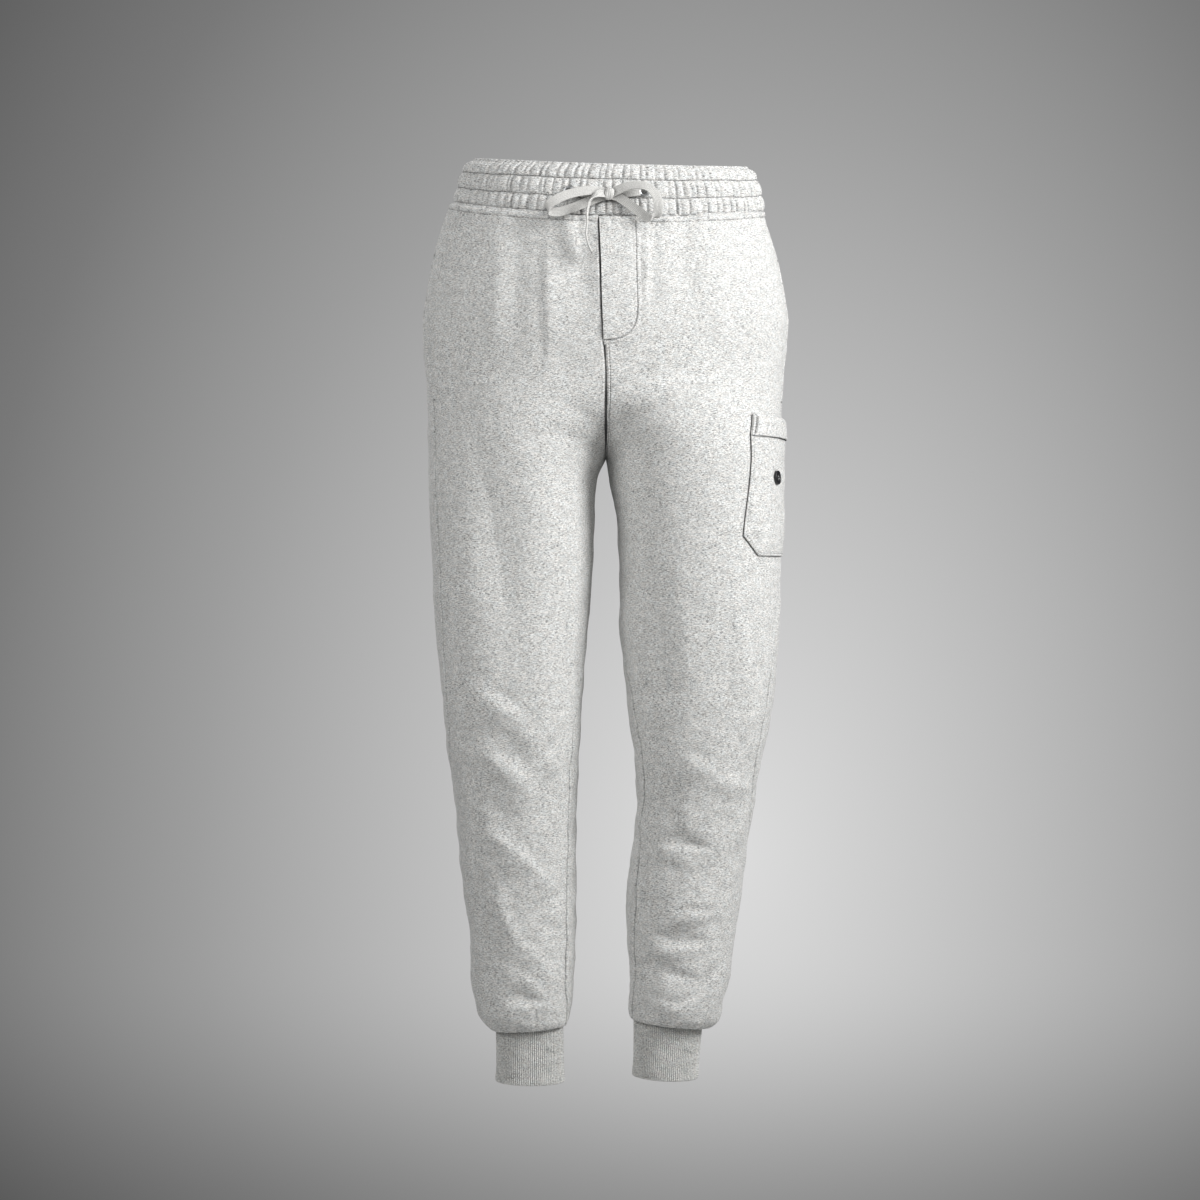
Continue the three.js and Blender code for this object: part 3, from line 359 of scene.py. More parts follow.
def makeCord(name, route, slot, nodes):
    course, length = smoothCourse(route, tape["step"])
    centre = course[:, :3]
    forward = unit(np.gradient(centre, axis=0))
    across = course[:, 3:] - np.sum(course[:, 3:] * forward, axis=1, keepdims=True) * forward
    across = unit(across)
    facing = np.cross(forward, across)
    section = tapeSection()
    points = centre[:, None] + across[:, None] * section[None, :, :1] + facing[:, None] * section[None, :, 1:]
    size, count = len(section), len(centre)
    faces = gridFaces(count, size, closedAcross=True)
    faces.append(list(range(size)))
    faces.append([(count - 1) * size + k for k in range(size)][::-1])
    along = np.broadcast_to(np.linspace(0, length, count)[:, None], (count, size))
    around = np.broadcast_to(section[:, 0][None], (count, size))
    piece = makePiece(name, points, faces, wovenTape, np.stack([around, along], axis=-1))
    recalculateNormals(piece)
    attach(piece, slot, *nodes)
    print(name, "tape is", round(length), "mm long")
    return piece


def recalculateNormals(piece):
    bpy.ops.object.select_all(action="DESELECT")
    piece.select_set(True)
    bpy.context.view_layer.objects.active = piece
    bpy.ops.object.mode_set(mode="EDIT")
    bpy.ops.mesh.select_all(action="SELECT")
    bpy.ops.mesh.normals_make_consistent(inside=False)
    bpy.ops.object.mode_set(mode="OBJECT")


def makeKnot():
    rows, columns = 30, 60
    along = np.linspace(-1, 1, rows)[:, None]
    turn = np.linspace(0, 2 * math.pi, columns, endpoint=False)[None]
    bulge = np.clip(1 - np.abs(along) ** 3.2, 0, 1) ** 0.45
    ribs = 0.22 * np.cos(along * math.pi * 5)
    pinch = 1 + 0.07 * np.cos(2 * turn + 0.4) - 0.05 * np.cos(3 * turn + along * 2)
    wrinkle = 0.25 * np.sin(3 * turn + along * 4)
    reach = bulge * pinch
    x = knot["x"] + along * knot["half"] * (1 + 0.12 * np.cos(turn)) + 1.1 * np.sin(turn) * bulge
    y = knot["y"] - (knot["deep"] * reach + (ribs + wrinkle) * bulge) * np.cos(turn)
    z = knot["z"] + (knot["tall"] * reach + (ribs + wrinkle) * bulge) * np.sin(turn)
    points = np.stack(np.broadcast_arrays(x, y, z), axis=-1)
    faces = gridFaces(rows, columns, closedAcross=True)
    faces.append(list(range(columns)))
    faces.append([(rows - 1) * columns + k for k in range(columns)][::-1])
    around = np.broadcast_to(turn * knot["tall"], (rows, columns))
    width = np.broadcast_to(along * knot["half"], (rows, columns))
    piece = makePiece("bowKnot", points, faces, wovenTape, np.stack([width, around], axis=-1))
    recalculateNormals(piece)
    return attach(piece, "tape", "bow_knot")


def makeFrayedTip():
    points, faces = [], []
    end = np.array(freeEndRoute[-1][:3], float)
    for strand in range(14):
        start = end + [0, (strand / 13 - 0.5) * 8, 1.5]
        spread = np.array([chance.uniform(-3.5, 3.5), (strand / 13 - 0.5) * 4 + chance.uniform(-1, 1), 0])
        drop = chance.uniform(3.5, 8)
        for i in range(6):
            t = i / 5
            middle = start + spread * t ** 1.6 + [0.6 * math.sin(strand + 4 * t), 0, -drop * t]
            radius = 0.22 * (1 - 0.5 * t)
            for k in range(4):
                a = k * math.pi / 2
                points.append(middle + [radius * math.cos(a), radius * math.sin(a), 0])
        base = strand * 24
        for i in range(5):
            for k in range(4):
                a, b = base + i * 4 + k, base + i * 4 + (k + 1) % 4
                faces.append([a, a + 4, b + 4, b])
        faces += [[base, base + 1, base + 2, base + 3], [base + 23, base + 22, base + 21, base + 20]]
    piece = makePiece("drawstringFrayedTip", points, faces, wovenTape, np.array(points)[:, [0, 2]])
    recalculateNormals(piece)
    return attach(piece, "tape")


def makeDrawstring():
    core = knot["x"], knot["y"] + 2.5, knot["z"], 0, 0.2, 1
    rightRoute = (leadRoute(-1) + [core] + leftLoopRoute[:1] + leftLoopRoute[1:]
                  + [(knot["x"], -112.6, -19.4, -0.2, 0, 1)] + freeEndRoute)
    leftRoute = leadRoute(1) + [core] + rightLoopRoute + [(knot["x"] + 2.5, -112.2, -19.6, 0.2, 0, 1)]
    tip = makeFrayedTip()
    bow = makeKnot()
    makeCord("drawstringRight", rightRoute, "tape",
             ["drawstring_right_lead", "drawstring_right_loop", "drawstring_right_end"])
    makeCord("drawstringLeft", leftRoute, "tape", ["drawstring_left_lead", "drawstring_left_loop"])


makeDrawstring()


# ---- the form of the legs and the waist, from the same sizes as the solids

# Outer and inner side of each leg: z, distance from the middle of the garment
rightOuter = [
    (0, 163.5), (-33, 176), (-76, 188.6), (-120, 197.3), (-150, 200.6), (-185, 198.6), (-229, 195.2), (-293, 194),
    (-316, 193.4), (-338, 192.9), (-403, 189.3), (-447, 187.4), (-490, 184.2), (-545, 178.6), (-600, 173.3),
    (-650, 166.4), (-710, 160.5), (-774, 153.7), (-818, 148.2), (-861, 147), (-883, 143.3), (-900, 138.4),
    (-912, 131.5), (-921, 124),
]
rightInner = [
    (-293, 0.15), (-316, 9.8), (-338, 12), (-403, 14.2), (-447, 17.4), (-490, 20.8), (-545, 25.4), (-600, 28.3),
    (-650, 31.3), (-710, 32.7), (-774, 32.7), (-818, 33.2), (-861, 35.4), (-883, 37.1), (-900, 39.4),
    (-912, 40.4), (-921, 41),
]
leftOuter = [
    (0, 168), (-33, 173.6), (-76, 186.4), (-120, 195.1), (-145, 198.4), (-185, 195.1), (-229, 191.8),
    (-293, 190.6), (-316, 190.3), (-340, 190.1), (-362, 190), (-447, 189.6), (-469, 188.8), (-512, 186.2),
    (-556, 182), (-589, 176.2), (-612, 170.4), (-643, 164.6), (-670, 161.4), (-698, 157), (-730, 151.5),
    (-763, 148.4), (-796, 143.8), (-828, 139), (-861, 133.5), (-883, 129.7), (-899, 126.4), (-912, 121),
    (-921, 114),
]
leftInner = [
    (-293, 0.15), (-316, 3.8), (-340, 8.6), (-362, 12.2), (-447, 15.3), (-469, 13.9), (-512, 18.5), (-556, 22.9),
    (-589, 26.2), (-612, 30.9), (-643, 32.7), (-670, 34.3), (-698, 31.1), (-730, 27.2), (-763, 22.9),
    (-796, 22.3), (-828, 24), (-861, 27), (-883, 25.3), (-899, 25), (-912, 24.6), (-921, 25),
]
# Garment seen from the side: z, front, widest line, back
sideProfile = [
    (0, -106, 0, 106), (-40, -109, 1, 112), (-75, -116, 3, 121), (-110, -121, 5, 131), (-150, -123, 8, 140),
    (-190, -120, 10, 144), (-230, -116, 11, 141), (-265, -113, 10, 133), (-293, -112, 8, 123),
    (-330, -110, 4, 112), (-400, -107, -3, 99), (-470, -103, -8, 88), (-540, -97, -12, 77), (-600, -90, -10, 74),
    (-660, -79, -2, 77), (-720, -69, 4, 80), (-780, -61, 8, 77), (-840, -54, 9, 69), (-880, -50, 9, 65),
    (-905, -46, 8, 60), (-921, -40, 8, 55),
]
frontLine = [(row[0], row[1]) for row in sideProfile]
widestLine = [(row[0], row[2]) for row in sideProfile]
backLine = [(row[0], row[3]) for row in sideProfile]
# How far the legs have grown into one body: height above the crotch, share
joining = [(0, 0), (3, 0.008), (8, 0.022), (17, 0.065), (29, 0.15), (45, 0.32), (68, 0.62), (93, 0.93), (118, 1)]
# Seams in degrees from the front of each leg: z, angle
rightSideSeam = [
    (0, 84), (-120, 83), (-200, 75), (-293, 62), (-447, 60), (-500, 62), (-552, 65), (-595, 68), (-643, 82),
    (-708, 89), (-796, 90), (-860, 90), (-892, 90), (-921, 90),
]
rightInseam = [
    (-293, 90), (-447, 89), (-500, 80), (-552, 71), (-595, 63), (-643, 61), (-708, 60), (-796, 56), (-860, 57),
    (-892, 68), (-921, 72),
]
leftSideSeam = [
    (0, 87), (-293, 86), (-414, 79), (-447, 76), (-490, 69), (-534, 63), (-573, 61), (-608, 61), (-656, 67),
    (-678, 71), (-720, 78), (-774, 83), (-830, 86), (-892, 88), (-921, 88),
]
leftInseam = [
    (-293, 90), (-414, 90), (-447, 89), (-490, 84), (-534, 72), (-573, 64), (-608, 62), (-656, 61), (-678, 68),
    (-720, 61), (-774, 58), (-830, 62), (-892, 70), (-921, 73),
]
pocketFrontEdge = [(0, 54), (-200, 46), (-250, 43), (-274, 37.2), (-309, 35), (-379, 27.5), (-450, 24), (-600, 14), (-921, 20)]
pocketBackEdge = [(-250, 101), (-309, 100), (-379, 96), (-450, 95)]
# The centre seam leans toward the wearer's right at the fly: z, x
centreSeam = [(-27, -6.5), (-140, -3.5), (-173, -2), (-215, 0), (-293, 0)]

rightLeg = {"sign": -1, "outer": rightOuter, "inner": rightInner, "side": rightSideSeam, "inseam": rightInseam,
            "cuffTop": (-83.2, 36.3), "cuffEnd": (-83.2, 36.3), "cuffHigh": -899, "cuffLow": -972.5,
            "lift": 0, "tilt": 3, "seed": 3}
leftLeg = {"sign": 1, "outer": leftOuter, "inner": leftInner, "side": leftSideSeam, "inseam": leftInseam,
           "cuffTop": (68.4, 37.8), "cuffEnd": (64.6, 34.6), "cuffHigh": -893, "cuffLow": -967.5,
           "lift": 5, "tilt": 5, "seed": 8}
cuffForm = {"deep": 38.5, "back": 8, "hemFade": -858, "hem": -893.5}

# Folds: face, start x and z, end x and z, how far the middle bows aside, half width, height, lean to one side.
# A ridge is positive and a trough negative; on the outer sides the first number is y in place of x.
folds = [
    ("front", -116, -14, -118, -190, 3, 15, 1.7, 0), ("front", -88, -14, -98, -190, -3, 13, -1.8, 0),
    ("front", -62, -14, -64, -205, 2, 9, 2.7, -0.2), ("front", -28, -14, -30, -150, 2, 12, -2, 0),
    ("front", 85, -14, 79, -150, 3, 14, -2.4, 0), ("front", 116, -14, 118, -160, -3, 15, 2.2, 0.2),
    ("front", 10, -232, 66, -192, 2, 9, -2.6, 0.2), ("front", 8, -252, 76, -212, 3, 9, 3.6, 0.3),
    ("front", 5, -272, 62, -240, 3, 10, -1.6, 0), ("front", -76, -230, -42, -490, 6, 28, 4, 0.1),
    ("front", -152, -240, -104, -510, 8, 30, -7.5, 0), ("front", -70, -463, -70, -580, 2, 13, 3, 0.2),
    ("front", -147, -541, -76, -594, 5, 14, 5, 0.3), ("front", -113, -590, -79, -636, 4, 13, -5, 0.2),
    ("front", -143, -609, -84, -647, 4, 12, 5, 0.3), ("front", -134, -655, -92, -697, 4, 14, -4, 0),
    ("front", -133, -690, -62, -755, 6, 11, 5.5, 0.4), ("front", -120, -748, -94, -822, -3, 11, 5.5, 0.3),
    ("front", -96, -815, -54, -868, 6, 11, 5.5, 0.4), ("front", -136, -755, -110, -856, -4, 14, -3.4, 0),
    ("front", -121, -872, -81, -876, 3, 11, -2.6, 0.3), ("front", 134, -415, 149, -604, 5, 12, 3, 0),
    ("front", 52, -426, 57, -596, 4, 18, -4, 0), ("front", 85, -619, 125, -628, -4, 11, 4, 0.3),
    ("front", 120, -626, 152, -652, -3, 11, 5, 0.3), ("front", 81, -640, 63, -683, -4, 13, -5, 0),
    ("front", 62, -696, 102, -713, 3, 10, -4, 0.3), ("front", 36, -732, 89, -738, 3, 11, -4, 0.2),
    ("front", 123, -758, 70, -792, 5, 14, 5, 0.3), ("front", 55, -808, 102, -812, 3, 11, -4, 0.3),
    ("front", 34, -840, 98, -856, 4, 12, -4, 0.2), ("front", 63, -883, 105, -872, 3, 12, 4, 0.2),
    ("front", 105, -872, 135, -830, -4, 12, 4, 0.2),
    ("back", -110, -40, -95, -150, 3, 17, 3, 0), ("back", -48, -40, -52, -130, 2, 15, 2.6, 0),
    ("back", 52, -42, 44, -140, -3, 15, 2.8, 0), ("back", 108, -42, 100, -135, 3, 17, 3, 0),
    ("back", -24, -308, -130, -352, 6, 18, -5, 0.2), ("back", 26, -304, 128, -344, -6, 18, -5, 0.2),
    ("back", -50, -545, -140, -562, 5, 14, -5, 0.3), ("back", -60, -590, -136, -580, 4, 13, 4, 0.2),
    ("back", 55, -552, 146, -540, 5, 14, -5, 0.3), ("back", 62, -582, 132, -592, 4, 13, 4, 0.2),
    ("back", -60, -700, -128, -726, 4, 15, -4, 0), ("back", 52, -712, 122, -694, 4, 15, -4, 0),
    ("back", -52, -792, -122, -806, 5, 14, -5, 0.2), ("back", 44, -800, 112, -786, 4, 14, -5, 0.2),
    ("back", -56, -836, -118, -826, 4, 13, 4, 0.2), ("back", 42, -834, 108, -842, 3, 13, 4, 0.2),
    ("back", -60, -872, -116, -880, 3, 11, -4, 0.2), ("back", 46, -876, 104, -868, 3, 11, -4, 0.2),
]
# Smaller creases that only the cloth here has, in the same columns
creases = [
    ("front", -68, -128, -68, -205, 2, 6, -1.3, 0.2), ("front", -10, -52, -9, -150, 1, 5, 1.3, 0.3),
    ("front", 42, -45, 41, -147, 1, 4, 1.9, 0.3), ("front", 51, -48, 50, -140, 1, 6, -1.4, 0),
    ("front", 107, -30, 108, -62, 1, 5, -1.6, 0.3), ("front", 142, -30, 144, -60, 1, 5, -1.6, 0.2),
    ("front", 7, -268, 44, -262, 2, 6, 1.4, 0.3), ("front", 4, -284, 40, -292, 3, 7, -1.5, 0.3),
    ("front", -6, -262, -52, -240, -3, 8, -1.6, 0.2), ("front", -8, -284, -64, -276, -4, 8, -1.4, 0),
    ("front", -47, -470, -41, -560, 3, 8, -1.4, 0), ("front", -126, -543, -89, -566, 3, 7, -2, 0.3),
    ("front", -65, -606, -49, -649, 3, 6, 2.6, 0.3), ("front", -150, -668, -118, -682, 2, 6, 2, 0.3),
    ("front", -78, -672, -52, -690, 3, 6, -1.8, 0.2), ("front", -132, -694, -99, -720, 3, 6, 2.6, 0.5),
    ("front", -99, -720, -52, -764, 3, 6, 2.8, 0.5), ("front", -70, -790, -46, -812, 3, 6, -1.8, 0.3),
    ("front", -94, -886, -48, -889, 2, 6, 2.4, 0.3),
    ("front", -96, -872, -70, -877, 1, 4, -3.4, 0.5), ("front", -113, -888, -81, -886, 2, 5, 2.2, 0.2),
    ("front", -112, -842, -62, -880, 5, 6, 3, 0.5), ("front", -73, -570, -52, -614, 2, 7, 1.8, 0.2),
    ("front", -128, -640, -100, -648, 2, 6, -1.6, 0.2), ("front", -140, -728, -118, -742, 2, 6, 1.8, 0.2),
    ("front", 104, -627, 156, -650, -6, 7, 2.8, 0.5), ("front", 60, -639, 54, -664, 2, 9, -2, 0),
    ("front", 88, -707, 116, -713, 1, 4.5, -3, 0.4), ("front", 86, -700, 124, -694, 2, 5, 2.6, 0.4),
    ("front", 41, -715, 89, -717, 2, 6, 2.8, 0.4), ("front", 76, -781, 109, -776, 1, 4, -3.2, 0.4),
    ("front", 72, -793, 130, -785, 2, 5.5, 3, 0.4), ("front", 50, -803, 78, -817, 2, 4.5, -3, 0.4),
    ("front", 78, -814, 112, -811, 1, 4.5, -3, 0.4), ("front", 56, -825, 106, -823, 2, 6, 3.2, 0.4),
    ("front", 32, -834, 72, -843, 2, 4.5, -3, 0.4), ("front", 64, -850, 102, -853, 1, 4, -3.4, 0.4),
    ("front", 122, -842, 98, -874, -2, 4.5, -4, 0.4), ("front", 98, -874, 66, -886, -2, 4.5, -4, 0.4),
    ("front", 38, -879, 84, -892, 3, 6, 2.8, 0.3), ("front", 129, -765, 112, -742, 2, 7, -1.8, 0),
    ("front", 66, -668, 96, -676, 3, 7, 2, 0.2), ("front", 120, -672, 140, -690, 2, 7, -1.8, 0.2),
    ("rightSide", -40, -560, 50, -548, 5, 12, -1.1, 0.2), ("rightSide", -50, -622, 46, -600, 6, 11, 0.9, 0.3),
    ("rightSide", -36, -668, 52, -690, 5, 12, -1.1, 0.2), ("rightSide", -40, -742, 48, -720, 5, 11, 0.9, 0.3),
    ("rightSide", -34, -800, 50, -820, 5, 12, -1.2, 0.2), ("rightSide", -30, -858, 44, -846, 4, 10, 1.0, 0.3),
    ("rightSide", -26, -884, 40, -892, 3, 8, -1.3, 0.2), ("rightSide", -10, -80, -14, -180, 4, 14, -1, 0),
    ("leftSide", -44, -552, 50, -566, 5, 12, -1.1, 0.2), ("leftSide", -46, -604, 44, -622, 6, 11, 0.9, 0.3),
    ("leftSide", -38, -690, 50, -668, 5, 12, -1.1, 0.2), ("leftSide", -36, -728, 48, -748, 5, 11, 0.9, 0.3),
    ("leftSide", -32, -812, 48, -796, 5, 12, -1.2, 0.2), ("leftSide", -30, -844, 42, -862, 4, 10, 1.0, 0.3),
    ("leftSide", -26, -890, 38, -882, 3, 8, -1.3, 0.2), ("leftSide", 20, -90, 26, -190, 4, 14, -1, 0),
    ("back", -20, -238, -70, -262, 4, 9, -1.8, 0.2), ("back", 22, -232, 74, -256, -4, 9, -1.8, 0.2),
    ("back", -84, -330, -150, -372, 5, 10, 2, 0.2), ("back", 80, -322, 148, -366, -5, 10, 2, 0.2),
    ("back", -64, -520, -128, -528, 4, 8, 2, 0.3), ("back", 66, -524, 130, -514, 4, 8, 2, 0.3),
    ("back", -70, -628, -122, -640, 4, 8, -2, 0.2), ("back", 70, -632, 124, -622, 4, 8, -2, 0.2),
    ("back", -58, -752, -108, -766, 4, 8, 2, 0.3), ("back", 52, -762, 104, -750, 4, 8, 2, 0.3),
]


def bandMiddle(turn):
    return 1.9 - 12.75 * np.cos(turn) - 2.6 * np.cos(2 * turn) - 4.5 * np.sin(turn)


def bandHalfHeight(turn):
    return 24.6 + 1.6 * np.cos(turn) + 1.3 * np.cos(2 * turn)


def legSection(leg, z):
    outer = readTable(leg["outer"], z)
    inner = np.where(z > crotchHeight, -outer * readTable(joining, z - crotchHeight), readTable(leg["inner"], z))
    middle = readTable(widestLine, z)
    return {"x": leg["sign"] * (outer + inner) / 2, "wide": (outer - inner) / 2, "y": middle,
            "front": middle - readTable(frontLine, z), "back": readTable(backLine, z) - middle}


lowerSoftness = 0.4   # the folds below the knee are softer than those of the thighs


def foldLift(x, y, z, ahead, outward, sign):
    total = np.zeros_like(z)
    for face, x1, z1, x2, z2, bow, wide, high, lean in folds + creases:
        if face == "front":
            across, weight = x, smoothStep(-0.05, 0.4, ahead)
        elif face == "back":
            across, weight = x, smoothStep(-0.05, 0.4, -ahead)
        elif (face == "rightSide") == (sign < 0):
            across, weight = y, smoothStep(0.45, 0.8, outward)
        else:
            continue
        reach = 1.7 * wide
        near = np.nonzero((z > min(z1, z2) - reach - 12) & (z < max(z1, z2) + reach + 12) & (weight > 0)
                          & (across > min(x1, x2) - reach - 12) & (across < max(x1, x2) + reach + 12))
        runX, runZ = x2 - x1, z2 - z1
        length = math.hypot(runX, runZ)
        dx, dz = across[near] - x1, z[near] - z1
        t = (dx * runX + dz * runZ) / length ** 2
        inside = np.clip(t, 0, 1)
        aside = (dz * runX - dx * runZ) / length - bow * 4 * inside * (1 - inside)
        beyond = (t - inside) * length
        away = np.hypot(aside * (1 + lean * np.sign(aside)), beyond) / reach
        ends = smoothStep(-0.25, 0.5, t) * smoothStep(-0.25, 0.5, 1 - t) * 1.15
        away = np.clip(away, 0, 1)
        shape = 0.6 * (0.5 + 0.5 * np.cos(math.pi * away)) + 0.4 * (1 - away) ** 2
        total[near] += weight[near] * ends * high * shape
    return total * (1 - lowerSoftness * smoothStep(-500, -610, z))


waves = [(chance.uniform(0, 2 * math.pi), chance.uniform(0.5, 1.4), chance.uniform(0, 2 * math.pi))
         for _ in range(14)]


def unevenness(x, y, z):   # slight waviness of cloth that is never quite flat
    total = np.zeros_like(z)
    around = x + 0.8 * y
    for i, (heading, pace, phase) in enumerate(waves):
        size = (34 if i < 7 else 13) / pace
        total += (0.32 if i < 7 else 0.07) * np.sin((around * math.cos(heading) + z * math.sin(heading))
                                                   * 2 * math.pi / size + phase)
    return total * (0.45 + 0.3 * smoothStep(-480, -650, z))


# Places and depths of the gathers that the elastic makes, for each channel of the waistband
gathering = {"count": 92, "jitter": 0.3, "wide": 1.5, "length": 872.0}


def gatherSet():
    count = gathering["count"]
    at = (np.arange(count) + 0.5 + chance.uniform(-gathering["jitter"], gathering["jitter"], count)) / count
    return at, chance.uniform(0.4, 1.0, count), chance.uniform(0.7, 1.3, count)


gatherRows = [gatherSet() for _ in range(3)]
fineTurns = np.linspace(0, 2 * math.pi, 2881)
fineLength = np.concatenate([[0], np.cumsum(np.hypot(168 * np.cos(fineTurns[:-1] + 0.0011),
                                                     105 * np.sin(fineTurns[:-1] + 0.0011)))])
fineLength = fineLength / fineLength[-1]


def shareOfWaist(turn):
    return np.interp(np.mod(turn, 2 * math.pi), fineTurns, fineLength)


def gatherDepth(share, channel):   # 0 on top of a puff, 1 in the deepest crease
    at, depth, wide = gatherRows[channel]
    order = np.argsort(at)
    at, depth, wide = at[order], depth[order], wide[order]
    k = np.searchsorted(at, share) % len(at)
    total = np.zeros_like(share)
    for shift in (-2, -1, 0, 1):
        j = (k + shift) % len(at)
        gap = np.abs(share - at[j])
        gap = np.minimum(gap, 1 - gap) * gathering["length"] / (gathering["wide"] * wide[j])
        total = np.maximum(total, depth[j] / (1 + gap ** 2) ** 1.3)
    return total


hemPinches = {-1: [(-0.62, 1.6, 0.05), (-0.42, 2.2, 0.05), (-0.27, 2.6, 0.05), (-0.1, 2.0, 0.05), (0.2, 1.2, 0.06)],
              1: [(0.32, 1.2, 0.1), (0.75, 2.0, 0.1)]}


def hemPinch(leg, angle):   # short tight puckers where the cloth meets the cuff, at the front
    total = np.zeros_like(angle)
    for at, deep, wide in hemPinches[leg["sign"]]:
        total += deep * np.exp(-((angle * leg["sign"] - at) / wide) ** 2)
    return total


def clothForm(leg, angle, nominal, tuck, folded=True):
    angle, nominal, tuck = np.broadcast_arrays(np.asarray(angle, float), np.asarray(nominal, float),
                                               np.asarray(tuck, float))
    sign = leg["sign"]
    turn = sign * angle
    hang = bandMiddle(turn) - bandHalfHeight(turn) - 0.3 + 27
    hem = leg["lift"] - leg["tilt"] * np.sin(angle)
    z = nominal + hang * smoothStep(-150, -27, nominal) + hem * smoothStep(cuffForm["hemFade"], cuffForm["hem"], nominal)
    section = legSection(leg, z)
    outward = signedPower(np.sin(angle), roundness)
    ahead = signedPower(np.cos(angle), roundness)
    x = section["x"] + sign * section["wide"] * outward
    y = section["y"] - np.where(ahead > 0, section["front"], section["back"]) * ahead
    if folded:
        lift = foldLift(x, y, z, ahead, outward, sign) + unevenness(x, y, z)
        pleat = smoothStep(-62, -27, nominal)
        lift = lift - 1.5 * pleat ** 1.5 * gatherDepth(shareOfWaist(turn), 0)
        puckers = 12 + leg["seed"]
        pucker = 0.6 * np.sin(puckers * angle + leg["seed"]) + 0.4 * np.sin((puckers * 2 + 3) * angle)
        lift = lift * (1 - 0.8 * tuck) + 0.55 * pucker * smoothStep(-876, -901.5, nominal) * (1 - 0.3 * tuck)
        lift = lift - hemPinch(leg, angle) * smoothStep(-898, -909, nominal) * (1 - 0.3 * tuck)
        x = x + sign * lift * np.sin(angle)
        y = y - lift * np.cos(angle)
    down = np.clip((leg["cuffHigh"] - z) / (leg["cuffHigh"] - leg["cuffLow"]), 0, 1)
    middle = leg["cuffTop"][0] + (leg["cuffEnd"][0] - leg["cuffTop"][0]) * down
    wide = leg["cuffTop"][1] + (leg["cuffEnd"][1] - leg["cuffTop"][1]) * down
    joinX = middle + sign * (wide + 0.6) * np.sin(angle)
    joinY = cuffForm["back"] - (cuffForm["deep"] + 0.6) * np.cos(angle)
    return np.stack([x + (joinX - x) * tuck, y + (joinY - y) * tuck, z], axis=-1)


def clothPoint(leg, angle, nominal, tuck=0.0, lift=0.0):
    here = clothForm(leg, angle, nominal, tuck)
    along = clothForm(leg, np.asarray(angle) + 0.012, nominal, tuck) - here
    below = clothForm(leg, angle, np.asarray(nominal) - 1.2, tuck) - here
    outward = unit(np.cross(below, along) * leg["sign"])
    return here + outward * np.asarray(lift)[..., None], outward


def angleAt(leg, x, nominal):
    section = legSection(leg, np.asarray(nominal, float))
    share = (leg["sign"] * x - np.abs(section["x"])) / section["wide"]
    return np.arcsin(np.sign(share) * np.minimum(1, np.abs(share)) ** (1 / roundness))


# ---- front and back panels

panel = {"columns": 92, "edges": (0, 0.4, 0.9, 1.5, 2.2, 3.0, 3.7, 4.1, 4.6, 5.2, 6.0, 7.2), "rowStep": 3.2, "wall": 1.6,
         "seamDepth": 2.4, "seamWide": 1.3, "weltWide": 4.3}


def panelRows():
    straight = np.concatenate([[-23.5, -25.2, -26.6, -27.6, -28.8, -30.2, -31.4, -32.4, -33.6],
                               np.arange(-35.5, cuffForm["hem"], -panel["rowStep"])])
    t = np.linspace(0, 1, 20)[1:]
    place = [(0, -893.5), (0.45, -904.5), (0.8, -913), (0.92, -913.5), (1, -911)]
    turned = [(0, 0), (0.45, 0.05), (0.8, 0.42), (0.92, 0.75), (1, 1)]
    nominal = np.concatenate([straight, readTable(place, t)])
    tuck = np.concatenate([np.zeros(len(straight)), readTable(turned, t)])
    return nominal, tuck


def panelEdges(leg, face, nominal):
    side = np.radians(readTable(leg["side"], nominal))
    seamX = readTable(centreSeam, nominal) if face == "front" else np.zeros_like(nominal)
    above = nominal > crotchHeight
    inner = np.where(above, -angleAt(leg, seamX, nominal), np.radians(readTable(leg["inseam"], nominal)))
    if face == "front":
        return -inner, side
    return side, math.pi + np.where(above, inner, math.pi - inner)


def panelGrid(leg, face):
    nominal, tuck = panelRows()
    first, last = panelEdges(leg, face, nominal)
    fine = np.linspace(0, 1, 240)
    angles = first[:, None] + (last - first)[:, None] * fine
    form = clothForm(leg, angles, nominal[:, None], tuck[:, None], folded=False)
    length = np.concatenate([np.zeros((len(nominal), 1)),
                             np.cumsum(np.linalg.norm(np.diff(form, axis=1), axis=2), axis=1)], axis=1)
    edges = np.array(panel["edges"])
    chosen, along = [], []
    for r in range(len(nominal)):
        total = length[r, -1]
        middle = np.linspace(edges[-1], total - edges[-1], panel["columns"] + 2)[1:-1]
        goal = np.concatenate([edges, middle, total - edges[::-1]])
        chosen.append(np.interp(goal, length[r], angles[r]))
        along.append(goal)
    return nominal, tuck, np.array(chosen), np.array(along), length[:, -1]


def seamShape(away, nominal, column):
    soft = 1 + 0.3 * np.sin(nominal / 5.1 + column) * np.sin(nominal / 17)
    return (-panel["seamDepth"] * np.exp(-(away / panel["seamWide"]) ** 1.4) * soft
            + 0.4 * np.exp(-((away - 3) / 2) ** 2))


